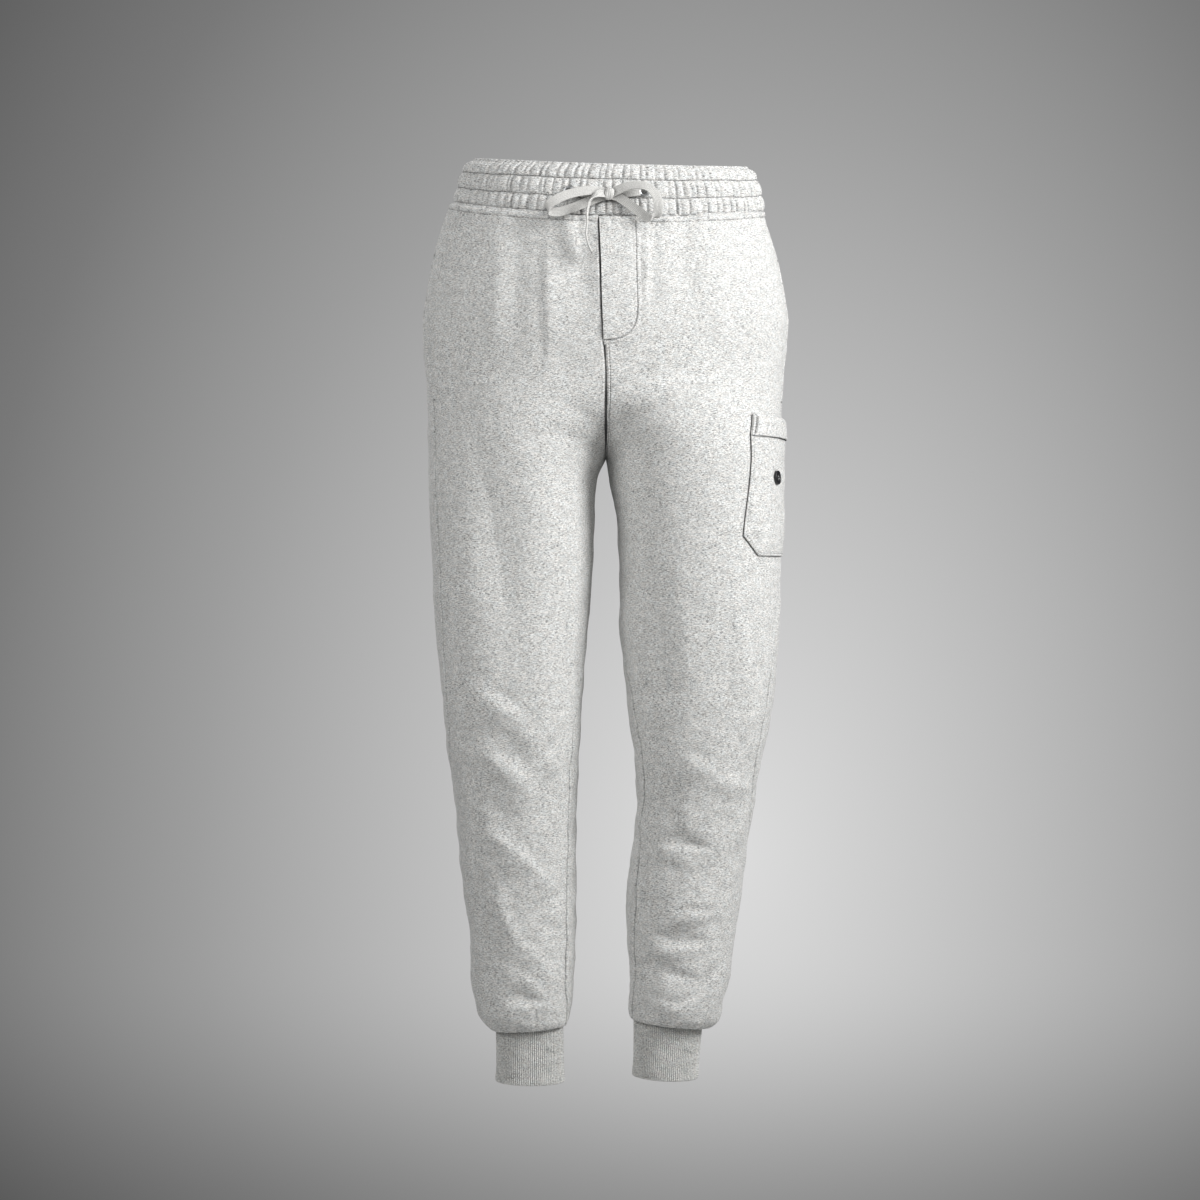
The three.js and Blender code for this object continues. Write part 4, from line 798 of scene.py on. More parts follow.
def makePanel(name, leg, face, node):
    nominal, tuck, angle, along, total = panelGrid(leg, face)
    nominalGrid = np.broadcast_to(nominal[:, None], angle.shape)
    fromFirst, fromLast = along, total[:, None] - along
    relief = seamShape(fromFirst, nominalGrid, 0) + seamShape(fromLast, nominalGrid, 2)
    relief = relief * (1 - smoothStep(0.3, 1, tuck))[:, None]
    strip = smoothStep(-27.2, -28.6, nominalGrid) * (1 - smoothStep(-31.4, -32.6, nominalGrid))
    uneven = 0.75 + 0.4 * np.sin(angle * 7.3 + leg["seed"]) * np.sin(angle * 17.1)
    relief += 1.2 * strip * uneven - 1.1 * np.exp(-((nominalGrid + 32.9) / 0.8) ** 2) * uneven
    relief -= 3.2 * smoothStep(-27.6, -25, nominalGrid) ** 0.7
    if face == "front":
        pocketMouth = smoothStep(-78, -84, nominalGrid) * (1 - smoothStep(-226, -234, nominalGrid))
        relief -= 0.5 * pocketMouth * np.exp(-((fromLast - 6.2) / 0.8) ** 2)
        relief += 0.8 * pocketMouth * smoothStep(0.4, 1.6, fromLast) * (1 - smoothStep(1.6, 9, fromLast))
    if face == "front" and leg["sign"] > 0:
        welt = smoothStep(-172, -178, nominalGrid) * (1 - smoothStep(-288, -293, nominalGrid))
        relief += welt * (0.5 * smoothStep(0.6, 1.6, fromFirst) * (1 - smoothStep(3.4, 4.4, fromFirst))
                          - 0.8 * np.exp(-((fromFirst - panel["weltWide"]) / 0.6) ** 2))
    points, outward = clothPoint(leg, angle, nominalGrid, tuck[:, None] + np.zeros_like(angle), relief)
    sign = leg["sign"]
    middleColumn = 0 if face == "front" else -1
    seamX = readTable(centreSeam, nominal) if face == "front" else np.zeros_like(nominal)
    above = nominal > crotchHeight
    points[above, middleColumn, 0] = seamX[above]
    clothMap = np.stack([sign * (along - total[:, None] / 2), nominalGrid], axis=-1)
    piece = makePiece(name, points, gridFaces(*angle.shape, flipped=sign < 0), sweatCloth, clothMap)
    applyModifier(piece, "SOLIDIFY", thickness=panel["wall"] * toMetres, offset=-1)
    attach(piece, "cloth", node)
    print(name, "has", len(piece.data.polygons), "faces")
    return piece


makePanel("frontRightPanel", rightLeg, "front", "front_right")
makePanel("frontLeftPanel", leftLeg, "front", "front_left")
makePanel("backRightPanel", rightLeg, "back", "back_right")
makePanel("backLeftPanel", leftLeg, "back", "back_left")


# ---- waistband: one strip in three channels, gathered on its elastic

band = {"points": 1056, "wall": 4.4, "roll": 2.1, "stitchLines": (0.36, 0.72), "puff": 3.3, "gather": 3.4}
bandWide = [(0, 169), (0.18, 167.6), (0.36, 165.8), (0.54, 163.8), (0.72, 160.8), (0.88, 157.2), (0.95, 154.4), (1, 149.5)]
bandDeep = [(0, 107.5), (0.18, 107), (0.36, 106), (0.54, 104.6), (0.72, 102.4), (0.88, 99.6), (1, 96)]
bandShift = [(0, 3), (0.18, 3.6), (0.36, 4), (0.72, 4), (0.88, 4.4), (1, 5.4)]


def bandForm(turn, up, inset=0.0, rise=0.0, puffed=1.0):
    lines = (0,) + band["stitchLines"] + (1.0,)
    share = shareOfWaist(turn)
    out = np.zeros_like(turn * up)
    for channel in range(3):
        low, high = lines[channel], lines[channel + 1]
        part = np.clip((up - low) / (high - low), 0, 1)
        bulge = np.clip(4 * part * (1 - part), 0, 1) ** 0.55
        here = (up >= low) & (up <= high) if channel == 2 else (up >= low) & (up < high)
        if channel == 2:
            bulge = np.where(part > 0.5, np.maximum(bulge, 0.55), bulge)
        lean = share + (part - 0.5) * 0.0012 * math.sin(channel * 2 + 1)
        crease = gatherDepth(np.mod(lean, 1), channel)
        height = -1.5 + band["puff"] * bulge - band["gather"] * crease * (0.3 + 0.7 * bulge)
        out = np.where(here, height, out)
    out = out * puffed - inset
    wide, deep, shift = readTable(bandWide, up), readTable(bandDeep, up), readTable(bandShift, up)
    x = shift + (wide + out) * np.sin(turn)
    y = -(deep + out) * np.cos(turn)
    sway = 0.35 * np.sin(9 * turn + 1) + 0.25 * np.sin(23 * turn)
    z = bandMiddle(turn) + (2 * up - 1) * bandHalfHeight(turn) + rise + sway * np.clip(4 * up * (1 - up), 0, 1)
    return np.stack(np.broadcast_arrays(x, y, z), axis=-1)


def makeWaistband():
    turn = np.interp(np.arange(band["points"]) / band["points"], fineLength, fineTurns)[None]
    lines = (0,) + band["stitchLines"] + (1.0,)
    steps = (1 - np.cos(np.linspace(0, math.pi, 15))) / 2
    ups = [0.0]
    for low, high in zip(lines[:-1], lines[1:]):
        ups += list(low + (high - low) * steps[1:])
    rings, map2 = [], []
    for up in ups:
        rings.append(bandForm(turn, np.full((1, 1), up)))
        map2.append(up * 51)
    for a in np.radians([35, 70, 105, 140, 175]):
        rings.append(bandForm(turn, np.full((1, 1), 1.0), band["roll"] * (1 - math.cos(a)),
                              band["roll"] * math.sin(a), 0.9 - 0.1 * a))
        map2.append(51 + 2 * a)
    for up in (0.97, 0.88, 0.72, 0.54, 0.36, 0.18, 0.02):
        rings.append(bandForm(turn, np.full((1, 1), up), band["wall"], 0, 0.3))
        map2.append(60 + (1 - up) * 51)
    for a in np.radians([130, 50]):
        rings.append(bandForm(turn, np.full((1, 1), 0.0), 2.2 - 2.2 * math.cos(a), -1.2 * math.sin(a), 0.5))
        map2.append(112 + a)
    points = np.concatenate(rings, axis=0)
    count = len(rings)
    around = np.broadcast_to(shareOfWaist(turn) * gathering["length"], (count, band["points"]))
    up = np.broadcast_to(np.array(map2)[:, None], around.shape)
    clothMap = np.stack([around, up], axis=-1)
    piece = makePiece("gatheredWaistband", points, gridFaces(count, band["points"], True, True, flipped=True),
                      sweatCloth, clothMap)
    attach(piece, "band", "waistband")
    print("waistband has", len(piece.data.polygons), "faces")


makeWaistband()


# ---- ribbed cuffs

rib = {"count": 100, "perRib": 8, "height": 0.55, "wall": 2.4, "rows": 34, "inside": 5}


def cuffRing(leg, z, inset, ribbed, creased=0.0):
    turn = np.arange(rib["count"] * rib["perRib"]) / (rib["count"] * rib["perRib"]) * 2 * math.pi
    down = np.clip((leg["cuffHigh"] - z) / (leg["cuffHigh"] - leg["cuffLow"]), 0, 1)
    middle = leg["cuffTop"][0] + (leg["cuffEnd"][0] - leg["cuffTop"][0]) * down
    wide = leg["cuffTop"][1] + (leg["cuffEnd"][1] - leg["cuffTop"][1]) * down
    drift = 0.18 * math.sin(z / 9.0)
    ribs = 2 * np.abs(np.cos((turn * rib["count"] + drift) / 2)) ** 0.8 - 1
    out = ribbed * rib["height"] * ribs - inset
    out = out + 0.35 * np.sin(3 * turn + z / 22 + leg["seed"]) + 1.1 * smoothStep(0.72, 0.97, down)
    out = out - creased * 0.9 * np.exp(-((np.mod(turn, 2 * math.pi) - 0.62 - 0.004 * (z + 930)) / 0.045) ** 2)
    tilt = 1.6 * down * np.sin(turn) * (1 if leg["sign"] > 0 else 0.3)
    return np.stack([middle + (wide + out) * np.sin(turn), cuffForm["back"] - (cuffForm["deep"] + out) * np.cos(turn),
                     z - tilt + 0 * turn], axis=-1)


def makeCuff(name, leg, node):
    top, low = leg["cuffHigh"] + 1.5, leg["cuffLow"]
    rings, down = [], []
    for z in np.linspace(top, low + 1.2, rib["rows"]):
        crease = smoothStep(-915, -922, z) * (1 - smoothStep(-936, -942, z)) if leg["sign"] < 0 else 0
        rings.append(cuffRing(leg, z, 0, 1, crease))
        down.append(z)
    for a in np.radians([30, 60, 90, 120, 150]):
        rings.append(cuffRing(leg, low + 1.2 - 1.2 * math.sin(a), 1.2 - 1.2 * math.cos(a), 0.75 - 0.15 * a))
        down.append(low - a)
    for z in np.linspace(low + 1.2, top, rib["inside"]):
        rings.append(cuffRing(leg, z, rib["wall"], 0.2))
        down.append(low - 5 + (low - z))
    points = np.stack(rings)
    turn = np.arange(points.shape[1]) / points.shape[1]
    around = np.broadcast_to(turn * 235, points.shape[:2])
    clothMap = np.stack([around, np.broadcast_to(np.array(down)[:, None], around.shape)], axis=-1)
    piece = makePiece(name, points, gridFaces(*points.shape[:2], True, True), ribKnit, clothMap)
    attach(piece, "rib", node)
    print(name, "has", len(piece.data.polygons), "faces")


makeCuff("ribCuffRight", rightLeg, "cuff_right")
makeCuff("ribCuffLeft", leftLeg, "cuff_left")


# ---- mock fly

fly = {"lift": 1.7, "puff": 0.7, "curveTop": -139, "curveLow": -173.5, "lip": 5.5, "wall": 1.0}


def flyStitchX(nominal, beyond=0.0):   # the stitched line, or a line that runs beside it
    straight = 30 + beyond + 3 * (nominal + 29) / (-139 + 29)
    part = np.clip((nominal - fly["curveTop"]) / (fly["curveLow"] - beyond - fly["curveTop"]), 0, 1)
    return np.where(nominal > fly["curveTop"], straight, -2 + (35 + beyond) * (1 - part ** 2.5) ** (1 / 2.5))


flyLine = np.concatenate([np.linspace(-28, -139, 60), fly["curveTop"] + (fly["curveLow"] - fly["curveTop"])
                          * np.sin(np.linspace(0, math.pi / 2, 60))[1:]])
flyLineX = flyStitchX(flyLine)


def makeFly():
    low = fly["curveLow"]
    down = np.concatenate([np.linspace(-27.6, -139, 46), fly["curveTop"] + (low - fly["curveTop"])
                           * np.sin(np.linspace(0, math.pi / 2, 44))[1:],
                           low - np.array([0.4, 0.9, 1.5, 2.4, 3.8, fly["lip"]])])
    left = (readTable(centreSeam, down) - 0.7)[:, None]
    line = np.maximum(flyStitchX(down)[:, None], left + 3.4)
    right = np.maximum(flyStitchX(down, fly["lip"])[:, None], left + 3.6)
    inside = np.concatenate([[0, 0.012, 0.03, 0.06], np.linspace(0.1, 1, 20)])
    beside = np.array([-2.4, -1.8, -1.3, -0.9, -0.6, -0.3, 0, 0.3, 0.6, 0.9, 1.4, 2.0, 3.2, 4.4, 5.5])
    x = np.concatenate([left + (line - 3 - left) * inside,
                        np.where(beside < 0, line + beside, line + (right - line) * beside / fly["lip"])], axis=1)
    nominal = np.broadcast_to(down[:, None], x.shape)
    away = np.min(np.hypot(x[..., None] - flyLineX, nominal[..., None] - flyLine), axis=-1)
    away = np.where((x > flyStitchX(nominal)) | (nominal < low), -away, away)
    lift = fly["lift"] * smoothStep(-0.2, 2.0, away) + fly["puff"] * smoothStep(2, 9, away)
    lift = lift + 1.1 * smoothStep(-0.1, -1.5, away) * (1 - smoothStep(-1.6, -fly["lip"], away))
    lift = lift - 0.5 * smoothStep(-fly["lip"] + 1.2, -fly["lip"], away) - 0.25 * np.exp(-((x - left) / 0.7) ** 2)
    angle = angleAt(leftLeg, x, nominal)
    points, _ = clothPoint(leftLeg, angle, nominal, 0.0, lift)
    piece = makePiece("mockFly", points, gridFaces(*x.shape), sweatCloth,
                      np.stack([x, nominal], axis=-1))
    applyModifier(piece, "SOLIDIFY", thickness=fly["wall"] * toMetres, offset=-1)
    attach(piece, "cloth", "fly_placket")


makeFly()


# ---- cargo pocket with its hem band

pocket = {"top": -251, "shoulder": -379, "low": -400, "corner": 14, "lift": 2.0, "puff": 2.2, "wall": 1.0}
hem = {"top": -249, "low": -272.5, "lift": 4.3, "gape": 3.2, "wall": 1.2, "dip": 5.5, "dipLow": 1.5,
       "first": 0.006, "last": 0.985, "frontRise": 1.2}


def pocketAngle(share, nominal):
    first = np.radians(readTable(pocketFrontEdge, nominal))
    cut = np.clip((pocket["shoulder"] - nominal) / (pocket["shoulder"] - pocket["low"]), 0, 1)
    corner = math.radians(pocket["corner"]) * cut
    last = np.radians(readTable(pocketBackEdge, nominal))
    return first + corner + (last - first - 2 * corner) * share


def pocketLift(share, nominal):
    wide = 104.0
    cut = np.clip((pocket["shoulder"] - nominal) / (pocket["shoulder"] - pocket["low"]), 0, 1)
    side = np.minimum(share, 1 - share) * (wide - 46 * cut)
    edge = np.minimum(side * (1 - 0.25 * smoothStep(0, 0.2, cut)), (nominal - pocket["low"]))
    rise = 0.4 + pocket["lift"] * smoothStep(-1.2, 1.3, edge)
    middle = smoothStep(0, 26, edge) * pocket["puff"]
    return rise + middle - 0.5 * np.exp(-((edge - 3.2) / 0.8) ** 2)


def makePocket():
    down = np.concatenate([np.linspace(pocket["top"], pocket["shoulder"], 60),
                           np.linspace(pocket["shoulder"], pocket["low"], 16)[1:-3],
                           pocket["low"] + np.array([3.0, 2.0, 1.2, 0.5, 0.0])])
    inside = np.linspace(0.045, 0.955, 58)
    share = np.concatenate([[0, 0.005, 0.012, 0.02, 0.032], inside, 1 - np.array([0.032, 0.02, 0.012, 0.005, 0])])
    share2, nominal = np.meshgrid(share, down)
    nominal = nominal - hem["dip"] * share2 * (1 - smoothStep(pocket["top"], pocket["top"] - 30, nominal))
    angle = pocketAngle(share2, nominal)
    points, _ = clothPoint(leftLeg, angle, nominal, 0.0, pocketLift(share2, nominal))
    clothMap = np.stack([share2 * 104 + 300, nominal], axis=-1)
    piece = makePiece("cargoPocket", points, gridFaces(*share2.shape), sweatCloth, clothMap)
    applyModifier(piece, "SOLIDIFY", thickness=pocket["wall"] * toMetres, offset=-1)
    attach(piece, "cloth", "cargo_pocket")

    down = np.linspace(0, 1, 20)
    share2, part = np.meshgrid(np.linspace(hem["first"], hem["last"], 62), down)
    nominal = (hem["top"] + (hem["low"] - hem["top"]) * part
               - (hem["dip"] + (hem["dipLow"] - hem["dip"]) * part) * share2)
    angle = pocketAngle(share2, nominal)
    edge = np.minimum(np.minimum(share2 - hem["first"], hem["last"] - share2) * 104,
                      np.minimum(part, 1 - part) * 23)
    gape = hem["gape"] * np.sin(math.pi * np.clip(share2, 0, 1)) ** 0.8
    lift = hem["lift"] + gape * (0.6 + 0.4 * part) + 0.7 * np.sqrt(np.clip(edge / 2.2, 0, 1)) - 0.7
    flat = 1 - smoothStep(hem["first"], 0.09, share2)   # the front end is tacked down flat
    lift = lift - (hem["lift"] + gape - 0.4 - pocket["lift"] - hem["frontRise"]) * flat
    points, _ = clothPoint(leftLeg, angle, nominal, 0.0, lift)
    piece = makePiece("cargoPocketHem", points, gridFaces(*share2.shape), sweatCloth,
                      np.stack([share2 * 104 + 420, nominal], axis=-1))
    applyModifier(piece, "SOLIDIFY", thickness=hem["wall"] * toMetres, offset=-1)
    attach(piece, "cloth", "cargo_pocket_hem")


makePocket()
print("fly and pocket made")


# ---- button and eyelets

button = {"radius": 7.5, "thick": 2.6, "angle": 60, "height": -316, "hole": 0.8, "spread": 1.4, "rim": 1.5}
eyelet = {"reach": 39, "out": (2.9, 3.4), "z": -14.4, "radius": 4.45, "tube": 1.3}


def takeUp(name):
    piece = bpy.context.active_object
    piece.name = piece.data.name = name
    return piece


def settle(piece, matrix):
    piece.data.transform(matrix)
    piece.matrix_world = Matrix.Identity(4)
    piece.data.polygons.foreach_set("use_smooth", [True] * len(piece.data.polygons))


def selectFlatFaces(piece, level, radius):
    bpy.ops.mesh.select_all(action="DESELECT")
    bpy.ops.object.mode_set(mode="OBJECT")
    for face in piece.data.polygons:
        face.select = abs(face.center.z - level) < 1e-6 and face.normal.z > 0.9 and face.center.length < radius
    bpy.ops.object.mode_set(mode="EDIT")
    bpy.context.tool_settings.mesh_select_mode = (False, False, True)


def makeButton():
    m = toMetres
    bpy.ops.object.select_all(action="DESELECT")
    bpy.ops.mesh.primitive_cylinder_add(vertices=56, radius=button["radius"] * m, depth=button["thick"] * m)
    piece = takeUp("cargoButton")
    bpy.ops.object.mode_set(mode="EDIT")
    selectFlatFaces(piece, button["thick"] / 2 * m, 1)
    bpy.ops.mesh.inset(thickness=button["rim"] * m)
    bpy.ops.mesh.inset(thickness=0.5 * m)
    bpy.ops.transform.translate(value=(0, 0, -0.7 * m))
    bpy.ops.object.mode_set(mode="OBJECT")
    applyModifier(piece, "BEVEL", width=0.45 * m, segments=3, limit_method="ANGLE", angle_limit=math.radians(40))
    for sx, sy in ((1, 1), (-1, 1), (-1, -1), (1, -1)):
        bpy.ops.object.select_all(action="DESELECT")
        bpy.ops.mesh.primitive_cylinder_add(vertices=16, radius=button["hole"] * m, depth=8 * m,
                                            location=(sx * button["spread"] * m, sy * button["spread"] * m, 0))
        drill = takeUp("drill")
        applyModifier(piece, "BOOLEAN", operation="DIFFERENCE", object=drill, solver="EXACT")
        bpy.data.objects.remove(drill, do_unlink=True)
    place, outward = clothPoint(leftLeg, np.array([math.radians(button["angle"])]), np.array([float(button["height"])]),
                                0.0, np.array([0.0]))
    base = 0.4 + pocket["lift"] + pocket["puff"] + button["thick"] / 2 + 0.1
    centre = (place[0] + outward[0] * base) * m
    turned = Vector((0, 0, 1)).rotation_difference(Vector(outward[0])).to_matrix().to_4x4()
    settle(piece, Matrix.Translation(Vector(centre)) @ turned)
    piece.data.materials.clear()
    piece.data.materials.append(blackResin)
    attach(piece, "button", "cargo_button")
    return Matrix.Translation(Vector(centre)) @ turned


def makeEyelet(name, side, node):
    m = toMetres
    turn = side * math.asin(eyelet["reach"] / 168)
    bpy.ops.object.select_all(action="DESELECT")
    bpy.ops.mesh.primitive_torus_add(major_radius=eyelet["radius"] * m, minor_radius=eyelet["tube"] * m,
                                     major_segments=40, minor_segments=14)
    piece = takeUp(name)
    bpy.ops.object.mode_set(mode="EDIT")
    bpy.ops.mesh.select_all(action="SELECT")
    bpy.ops.transform.resize(value=(1, 1, 0.62))
    bpy.ops.object.mode_set(mode="OBJECT")
    facing = Vector((side * 0.14, -1, 0)).normalized()
    turned = Vector((0, 0, 1)).rotation_difference(facing).to_matrix().to_4x4()
    aside = (side * eyelet["reach"] - 4) / 165.8
    out = eyelet["out"][0 if side < 0 else 1]
    centre = Vector(((168 + out) * math.sin(turn), -(105 + out) * math.sqrt(1 - aside ** 2), eyelet["z"])) * m
    settle(piece, Matrix.Translation(centre) @ turned)
    piece.data.materials.append(pressedBrass)
    attach(piece, "eyelet", node)


buttonPlace = makeButton()
makeEyelet("eyeletRight", -1, "eyelet_right")
makeEyelet("eyeletLeft", 1, "eyelet_left")
print("button and eyelets made")


# ---- sewing: one stitch is modelled once and copied along each seam

stitch = {"long": 2.3, "pitch": 3.3, "thick": 0.34}


def modelStitch():
    bpy.ops.object.select_all(action="DESELECT")
    bpy.ops.mesh.primitive_uv_sphere_add(segments=6, ring_count=5, radius=1)
    piece = takeUp("oneStitch")
    points = np.array([v.co[:] for v in piece.data.vertices])
    faces = [list(p.vertices) for p in piece.data.polygons]
    bpy.data.objects.remove(piece, do_unlink=True)
    return points[:, [2, 0, 1]], faces


stitchPoints, stitchFaces = modelStitch()
sewn = {"points": [], "faces": [], "count": 0}


def sew(line, outward, pitch=stitch["pitch"], long=stitch["long"], thick=stitch["thick"], rise=0.12):
    steps = np.linalg.norm(np.diff(line, axis=0), axis=1)
    length = np.concatenate([[0], np.cumsum(steps)])
    at = np.arange(pitch / 2, length[-1], pitch)
    middle = np.stack([np.interp(at, length, line[:, i]) for i in range(3)], axis=1)
    ahead = np.stack([np.interp(at + 0.5, length, line[:, i]) - np.interp(at - 0.5, length, line[:, i])
                      for i in range(3)], axis=1)
    up = unit(np.stack([np.interp(at, length, outward[:, i]) for i in range(3)], axis=1))
    ahead = unit(ahead)
    aside = np.cross(up, ahead)
    for m, a, s, u in zip(middle, ahead, aside, up):
        start = sewn["count"]
        size = np.array([long / 2, thick, thick * 0.8])
        local = stitchPoints * size
        sewn["points"].append(m + u * rise + local[:, :1] * a + local[:, 1:2] * s + local[:, 2:] * u)
        sewn["faces"] += [[v + start for v in face] for face in stitchFaces]
        sewn["count"] = start + len(local)


def sewOnLeg(leg, angle, nominal, lift, **settings):
    line, outward = clothPoint(leg, angle, nominal, 0.0, lift + np.zeros_like(nominal))
    sew(line, outward, **settings)


def sewSeams():
    turn = np.linspace(0, 2 * math.pi, 1400)
    for up in band["stitchLines"]:
        line = bandForm(turn[None], np.full((1, 1), up))[0]
        outward = unit(np.stack([np.sin(turn) / 168, -np.cos(turn) / 105, 0 * turn], axis=1))
        sew(line, outward, rise=0.0)
    for leg in (rightLeg, leftLeg):
        for face in ("front", "back"):
            first, last = panelEdges(leg, face, np.array([-32.6]))
            angle = np.linspace(first[0] + 0.01, last[0] - 0.01, 260)
            sewOnLeg(leg, angle, np.full(260, -32.6), -0.35)
        down = np.linspace(-82, -230, 90)
        section = legSection(leg, down)
        angle = np.radians(readTable(leg["side"], down)) - 6.2 / np.minimum(section["front"], 115)
        sewOnLeg(leg, angle, down, -0.3)
        for height in (-80, -232):
            for k in range(2):
                z = np.full(12, height + 1.0 * k)
                seam = np.radians(readTable(leg["side"], z))
                angle = seam - np.linspace(0.3, 7, 12) / 112
                sewOnLeg(leg, angle, z, 0.5, pitch=2.2, long=2.4)
    sewOnLeg(leftLeg, angleAt(leftLeg, flyLineX, flyLine), flyLine, 0.05, pitch=2.9, long=2.1)
    down = np.linspace(-176, -288, 60)
    sewOnLeg(leftLeg, angleAt(leftLeg, readTable(centreSeam, down) + panel["weltWide"], down), down, -0.25)
    # pocket outline, 3.2 mm inside its edge, and the bar tacks at its mouth
    down = np.linspace(-271, pocket["shoulder"] + 1.5, 80)
    for share in (3.2 / 104, 1 - 3.2 / 104):
        where = np.full(80, share)
        sewOnLeg(leftLeg, pocketAngle(where, down), down, pocketLift(where, down))
    down = np.linspace(pocket["shoulder"] + 1.5, pocket["low"] + 3.2, 20)
    for side in (0, 1):
        inset = 3.2 / (104 - 46 * np.clip((pocket["shoulder"] - down) / 21, 0, 1))
        where = inset * 1.25 if side == 0 else 1 - inset * 1.25
        sewOnLeg(leftLeg, pocketAngle(where, down), down, pocketLift(where, down))
    where = np.linspace(0.05, 0.95, 60)
    down = np.full(60, pocket["low"] + 3.2)
    sewOnLeg(leftLeg, pocketAngle(where, down), down, pocketLift(where, down))
    for k in range(2):
        down = np.linspace(hem["top"] - 3, hem["low"] + 3, 16)
        where = np.full(16, 0.034 + 0.009 * k)
        sewOnLeg(leftLeg, pocketAngle(where, down), down, 0.4 + pocket["lift"] + hem["frontRise"] + 0.9 + 0.7 * k,
                 pitch=2.2, long=2.3)


sewSeams()


def sewButton():
    m = 1000
    for sx in (-1, 1):
        line = np.array([buttonPlace @ Vector((sx * 1.4 / m, y / m, 0.75 / m)) for y in np.linspace(-1.6, 1.6, 8)]) * m
        outward = np.tile(np.array(buttonPlace.to_3x3() @ Vector((0, 0, 1))), (8, 1))
        sew(line, outward, pitch=3.1, long=3.3, thick=0.5, rise=0.1)


sewButton()
thread = makePiece("seamStitches", np.concatenate(sewn["points"]), sewn["faces"], sewingThread)
attach(thread, "cloth")
print("stitches made:", len(sewn["points"]))


# ---- studio

# The wall stands further back than any view of the garment is taken from
studio = {"floor": -2.2, "wall": 4.3, "halfWidth": 7.0, "height": 5.0, "reach": 40.0}
# Painted light on the backdrop, which glows by itself: tones from the brightest place of its painted pool of light
# outward, and how the painted light darkens low down
paper = {"centre": (0.3, 0, -1.05), "reach": (3.4, 1000, 4.9), "glow": 1.0,
         "low": {"From Min": -2.1, "From Max": -1.3, "To Min": 0.45, "To Max": 1.0},
         "tones": [(0.2, "#383838"), (0.45, "#767676"), (0.62, "#9b9b9b"), (0.8, "#bdbdbd"), (1.0, "#dcdcdc")]}


def paperMaterial():   # studio paper lit by its own painted glow, not by a lamp: matt, with a painted pool of light that darkens toward its edges
    material, tree = newMaterial("glowingBackdropPaintedLight")
    place = addNode(tree, "ShaderNodeTexCoord")
    scale = tuple(1 / r for r in paper["reach"])
    mapped = addNode(tree, "ShaderNodeMapping", {"Scale": scale, "Location": tuple(-c * s for c, s in
                                                                                   zip(paper["centre"], scale))},
                     {"Vector": place.outputs["Object"]})
    spread = addNode(tree, "ShaderNodeTexGradient", {"gradient_type": "SPHERICAL"},
                     {"Vector": mapped.outputs["Vector"]})
    # painted pool of light: the glow is brightest at the centre and fades outward
    ramp = addNode(tree, "ShaderNodeValToRGB", {"ramp": paper["tones"]}, {"Fac": spread.outputs["Fac"]})
    height = addNode(tree, "ShaderNodeSeparateXYZ", links={0: place.outputs["Object"]})
    # painted falloff: the glow darkens low down
    low = addNode(tree, "ShaderNodeMapRange", {"interpolation_type": "SMOOTHSTEP", **paper["low"]},
                  {"Value": height.outputs["Z"]})
    colour = addNode(tree, "ShaderNodeMix", {"data_type": "RGBA", "blend_type": "MULTIPLY", 0: 1.0},
                     {6: ramp.outputs["Color"], 7: low.outputs[0]})
    # the backdrop's brightness is painted emission, not light from a lamp
    shader = addNode(tree, "ShaderNodeBsdfPrincipled",
                     {"Base Color": (0.02, 0.02, 0.02, 1), "Roughness": 1.0, "Specular IOR Level": 0.0,
                      "Emission Strength": paper["glow"]}, {"Emission Color": colour.outputs[2]})
    closeMaterial(tree, shader)
    return material


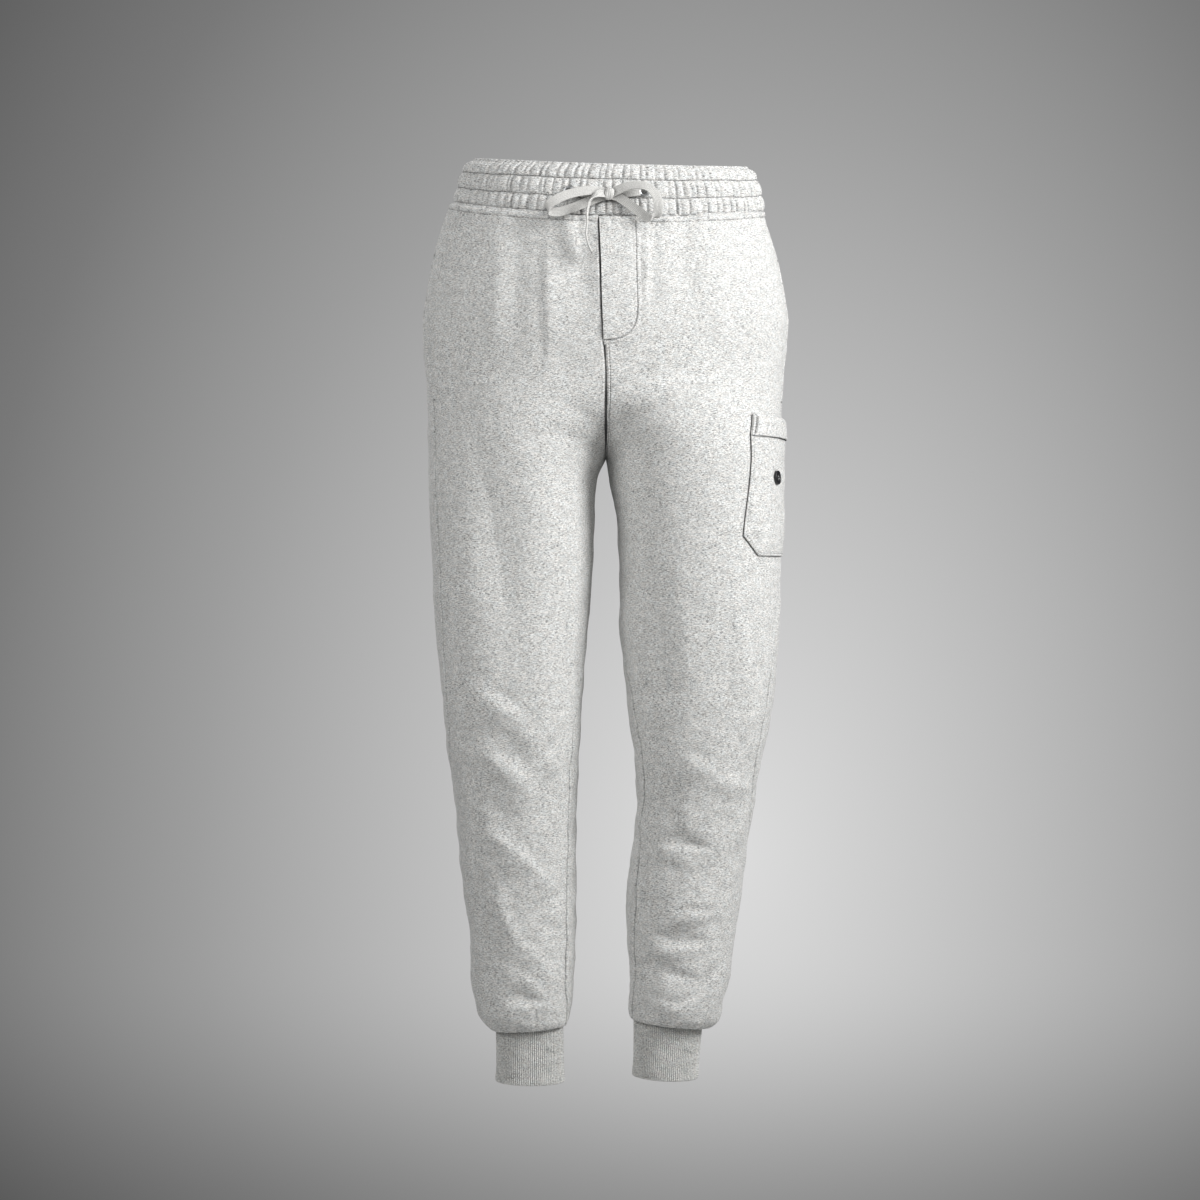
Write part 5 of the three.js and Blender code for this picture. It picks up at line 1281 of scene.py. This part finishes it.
def floorMaterial():   # matt painted board: pale, with a faint unevenness left by the roller
    material, tree = newMaterial("paintedFloorBoard")
    place = addNode(tree, "ShaderNodeTexCoord")
    noise = addNode(tree, "ShaderNodeTexNoise", {"Scale": 6.0, "Detail": 2.0}, {"Vector": place.outputs["Object"]})
    ramp = addNode(tree, "ShaderNodeValToRGB", {"ramp": [(0.3, "#d9d9d8"), (0.7, "#dbdbda")]},
                   {"Fac": noise.outputs["Fac"]})
    shader = addNode(tree, "ShaderNodeBsdfPrincipled",
                     {"Roughness": 0.9, "Specular IOR Level": 0.1, "Emission Strength": 0.07},
                     {"Base Color": ramp.outputs["Color"], "Emission Color": ramp.outputs["Color"]})
    closeMaterial(tree, shader)
    return material


def makeBackdrop():
    wide, far, floor = studio["halfWidth"], studio["wall"], studio["floor"]
    wall = [(x * 1000, far * 1000, z * 1000) for z in (floor, studio["height"]) for x in (-wide, wide)]
    makePiece("backdrop", wall, [[0, 1, 3, 2]], paperMaterial())
    reach = studio["reach"]
    ground = [(x * reach * 1000, y * reach * 1000, floor * 1000) for y in (-1, 1) for x in (-1, 1)]
    makePiece("floor", ground, [[0, 1, 3, 2]], floorMaterial())


lamps = [
    {"name": "keySoftbox", "at": (1.5, -0.95, 0.55), "aim": (0.0, 0, -0.1), "size": (0.7, 1.0), "power": 50},
    {"name": "frontFill", "at": (0.2, -2.0, 0.3), "aim": (0, 0, -0.6), "size": (1.4, 1.2), "power": 10},
    {"name": "backFill", "at": (-0.9, 2.4, 1.5), "aim": (0, 0, -0.45), "size": (1.6, 1.0), "power": 60},
    {"name": "leftFill", "at": (-1.2, -1.1, 0.2), "aim": (0, 0, -0.3), "size": (0.8, 1.0), "power": 10},
]


def addLamp(lamp):
    data = bpy.data.lights.new(lamp["name"], "AREA")
    data.shape, (data.size, data.size_y), data.energy = "RECTANGLE", lamp["size"], lamp["power"]
    item = bpy.data.objects.new(lamp["name"], data)
    item.location = lamp["at"]
    item.rotation_euler = (Vector(lamp["aim"]) - Vector(lamp["at"])).to_track_quat("-Z", "Y").to_euler()
    bpy.context.scene.collection.objects.link(item)


def lightStudio():
    for lamp in lamps:
        addLamp(lamp)
    world = bpy.data.worlds.new("studioAir")
    bpy.context.scene.world = world
    world.use_nodes = True
    world.node_tree.nodes["Background"].inputs["Color"].default_value = (1, 1, 1, 1)
    world.node_tree.nodes["Background"].inputs["Strength"].default_value = 0.22
    bpy.context.scene.view_settings.view_transform = "Standard"


makeBackdrop()
lightStudio()
print("studio lit")
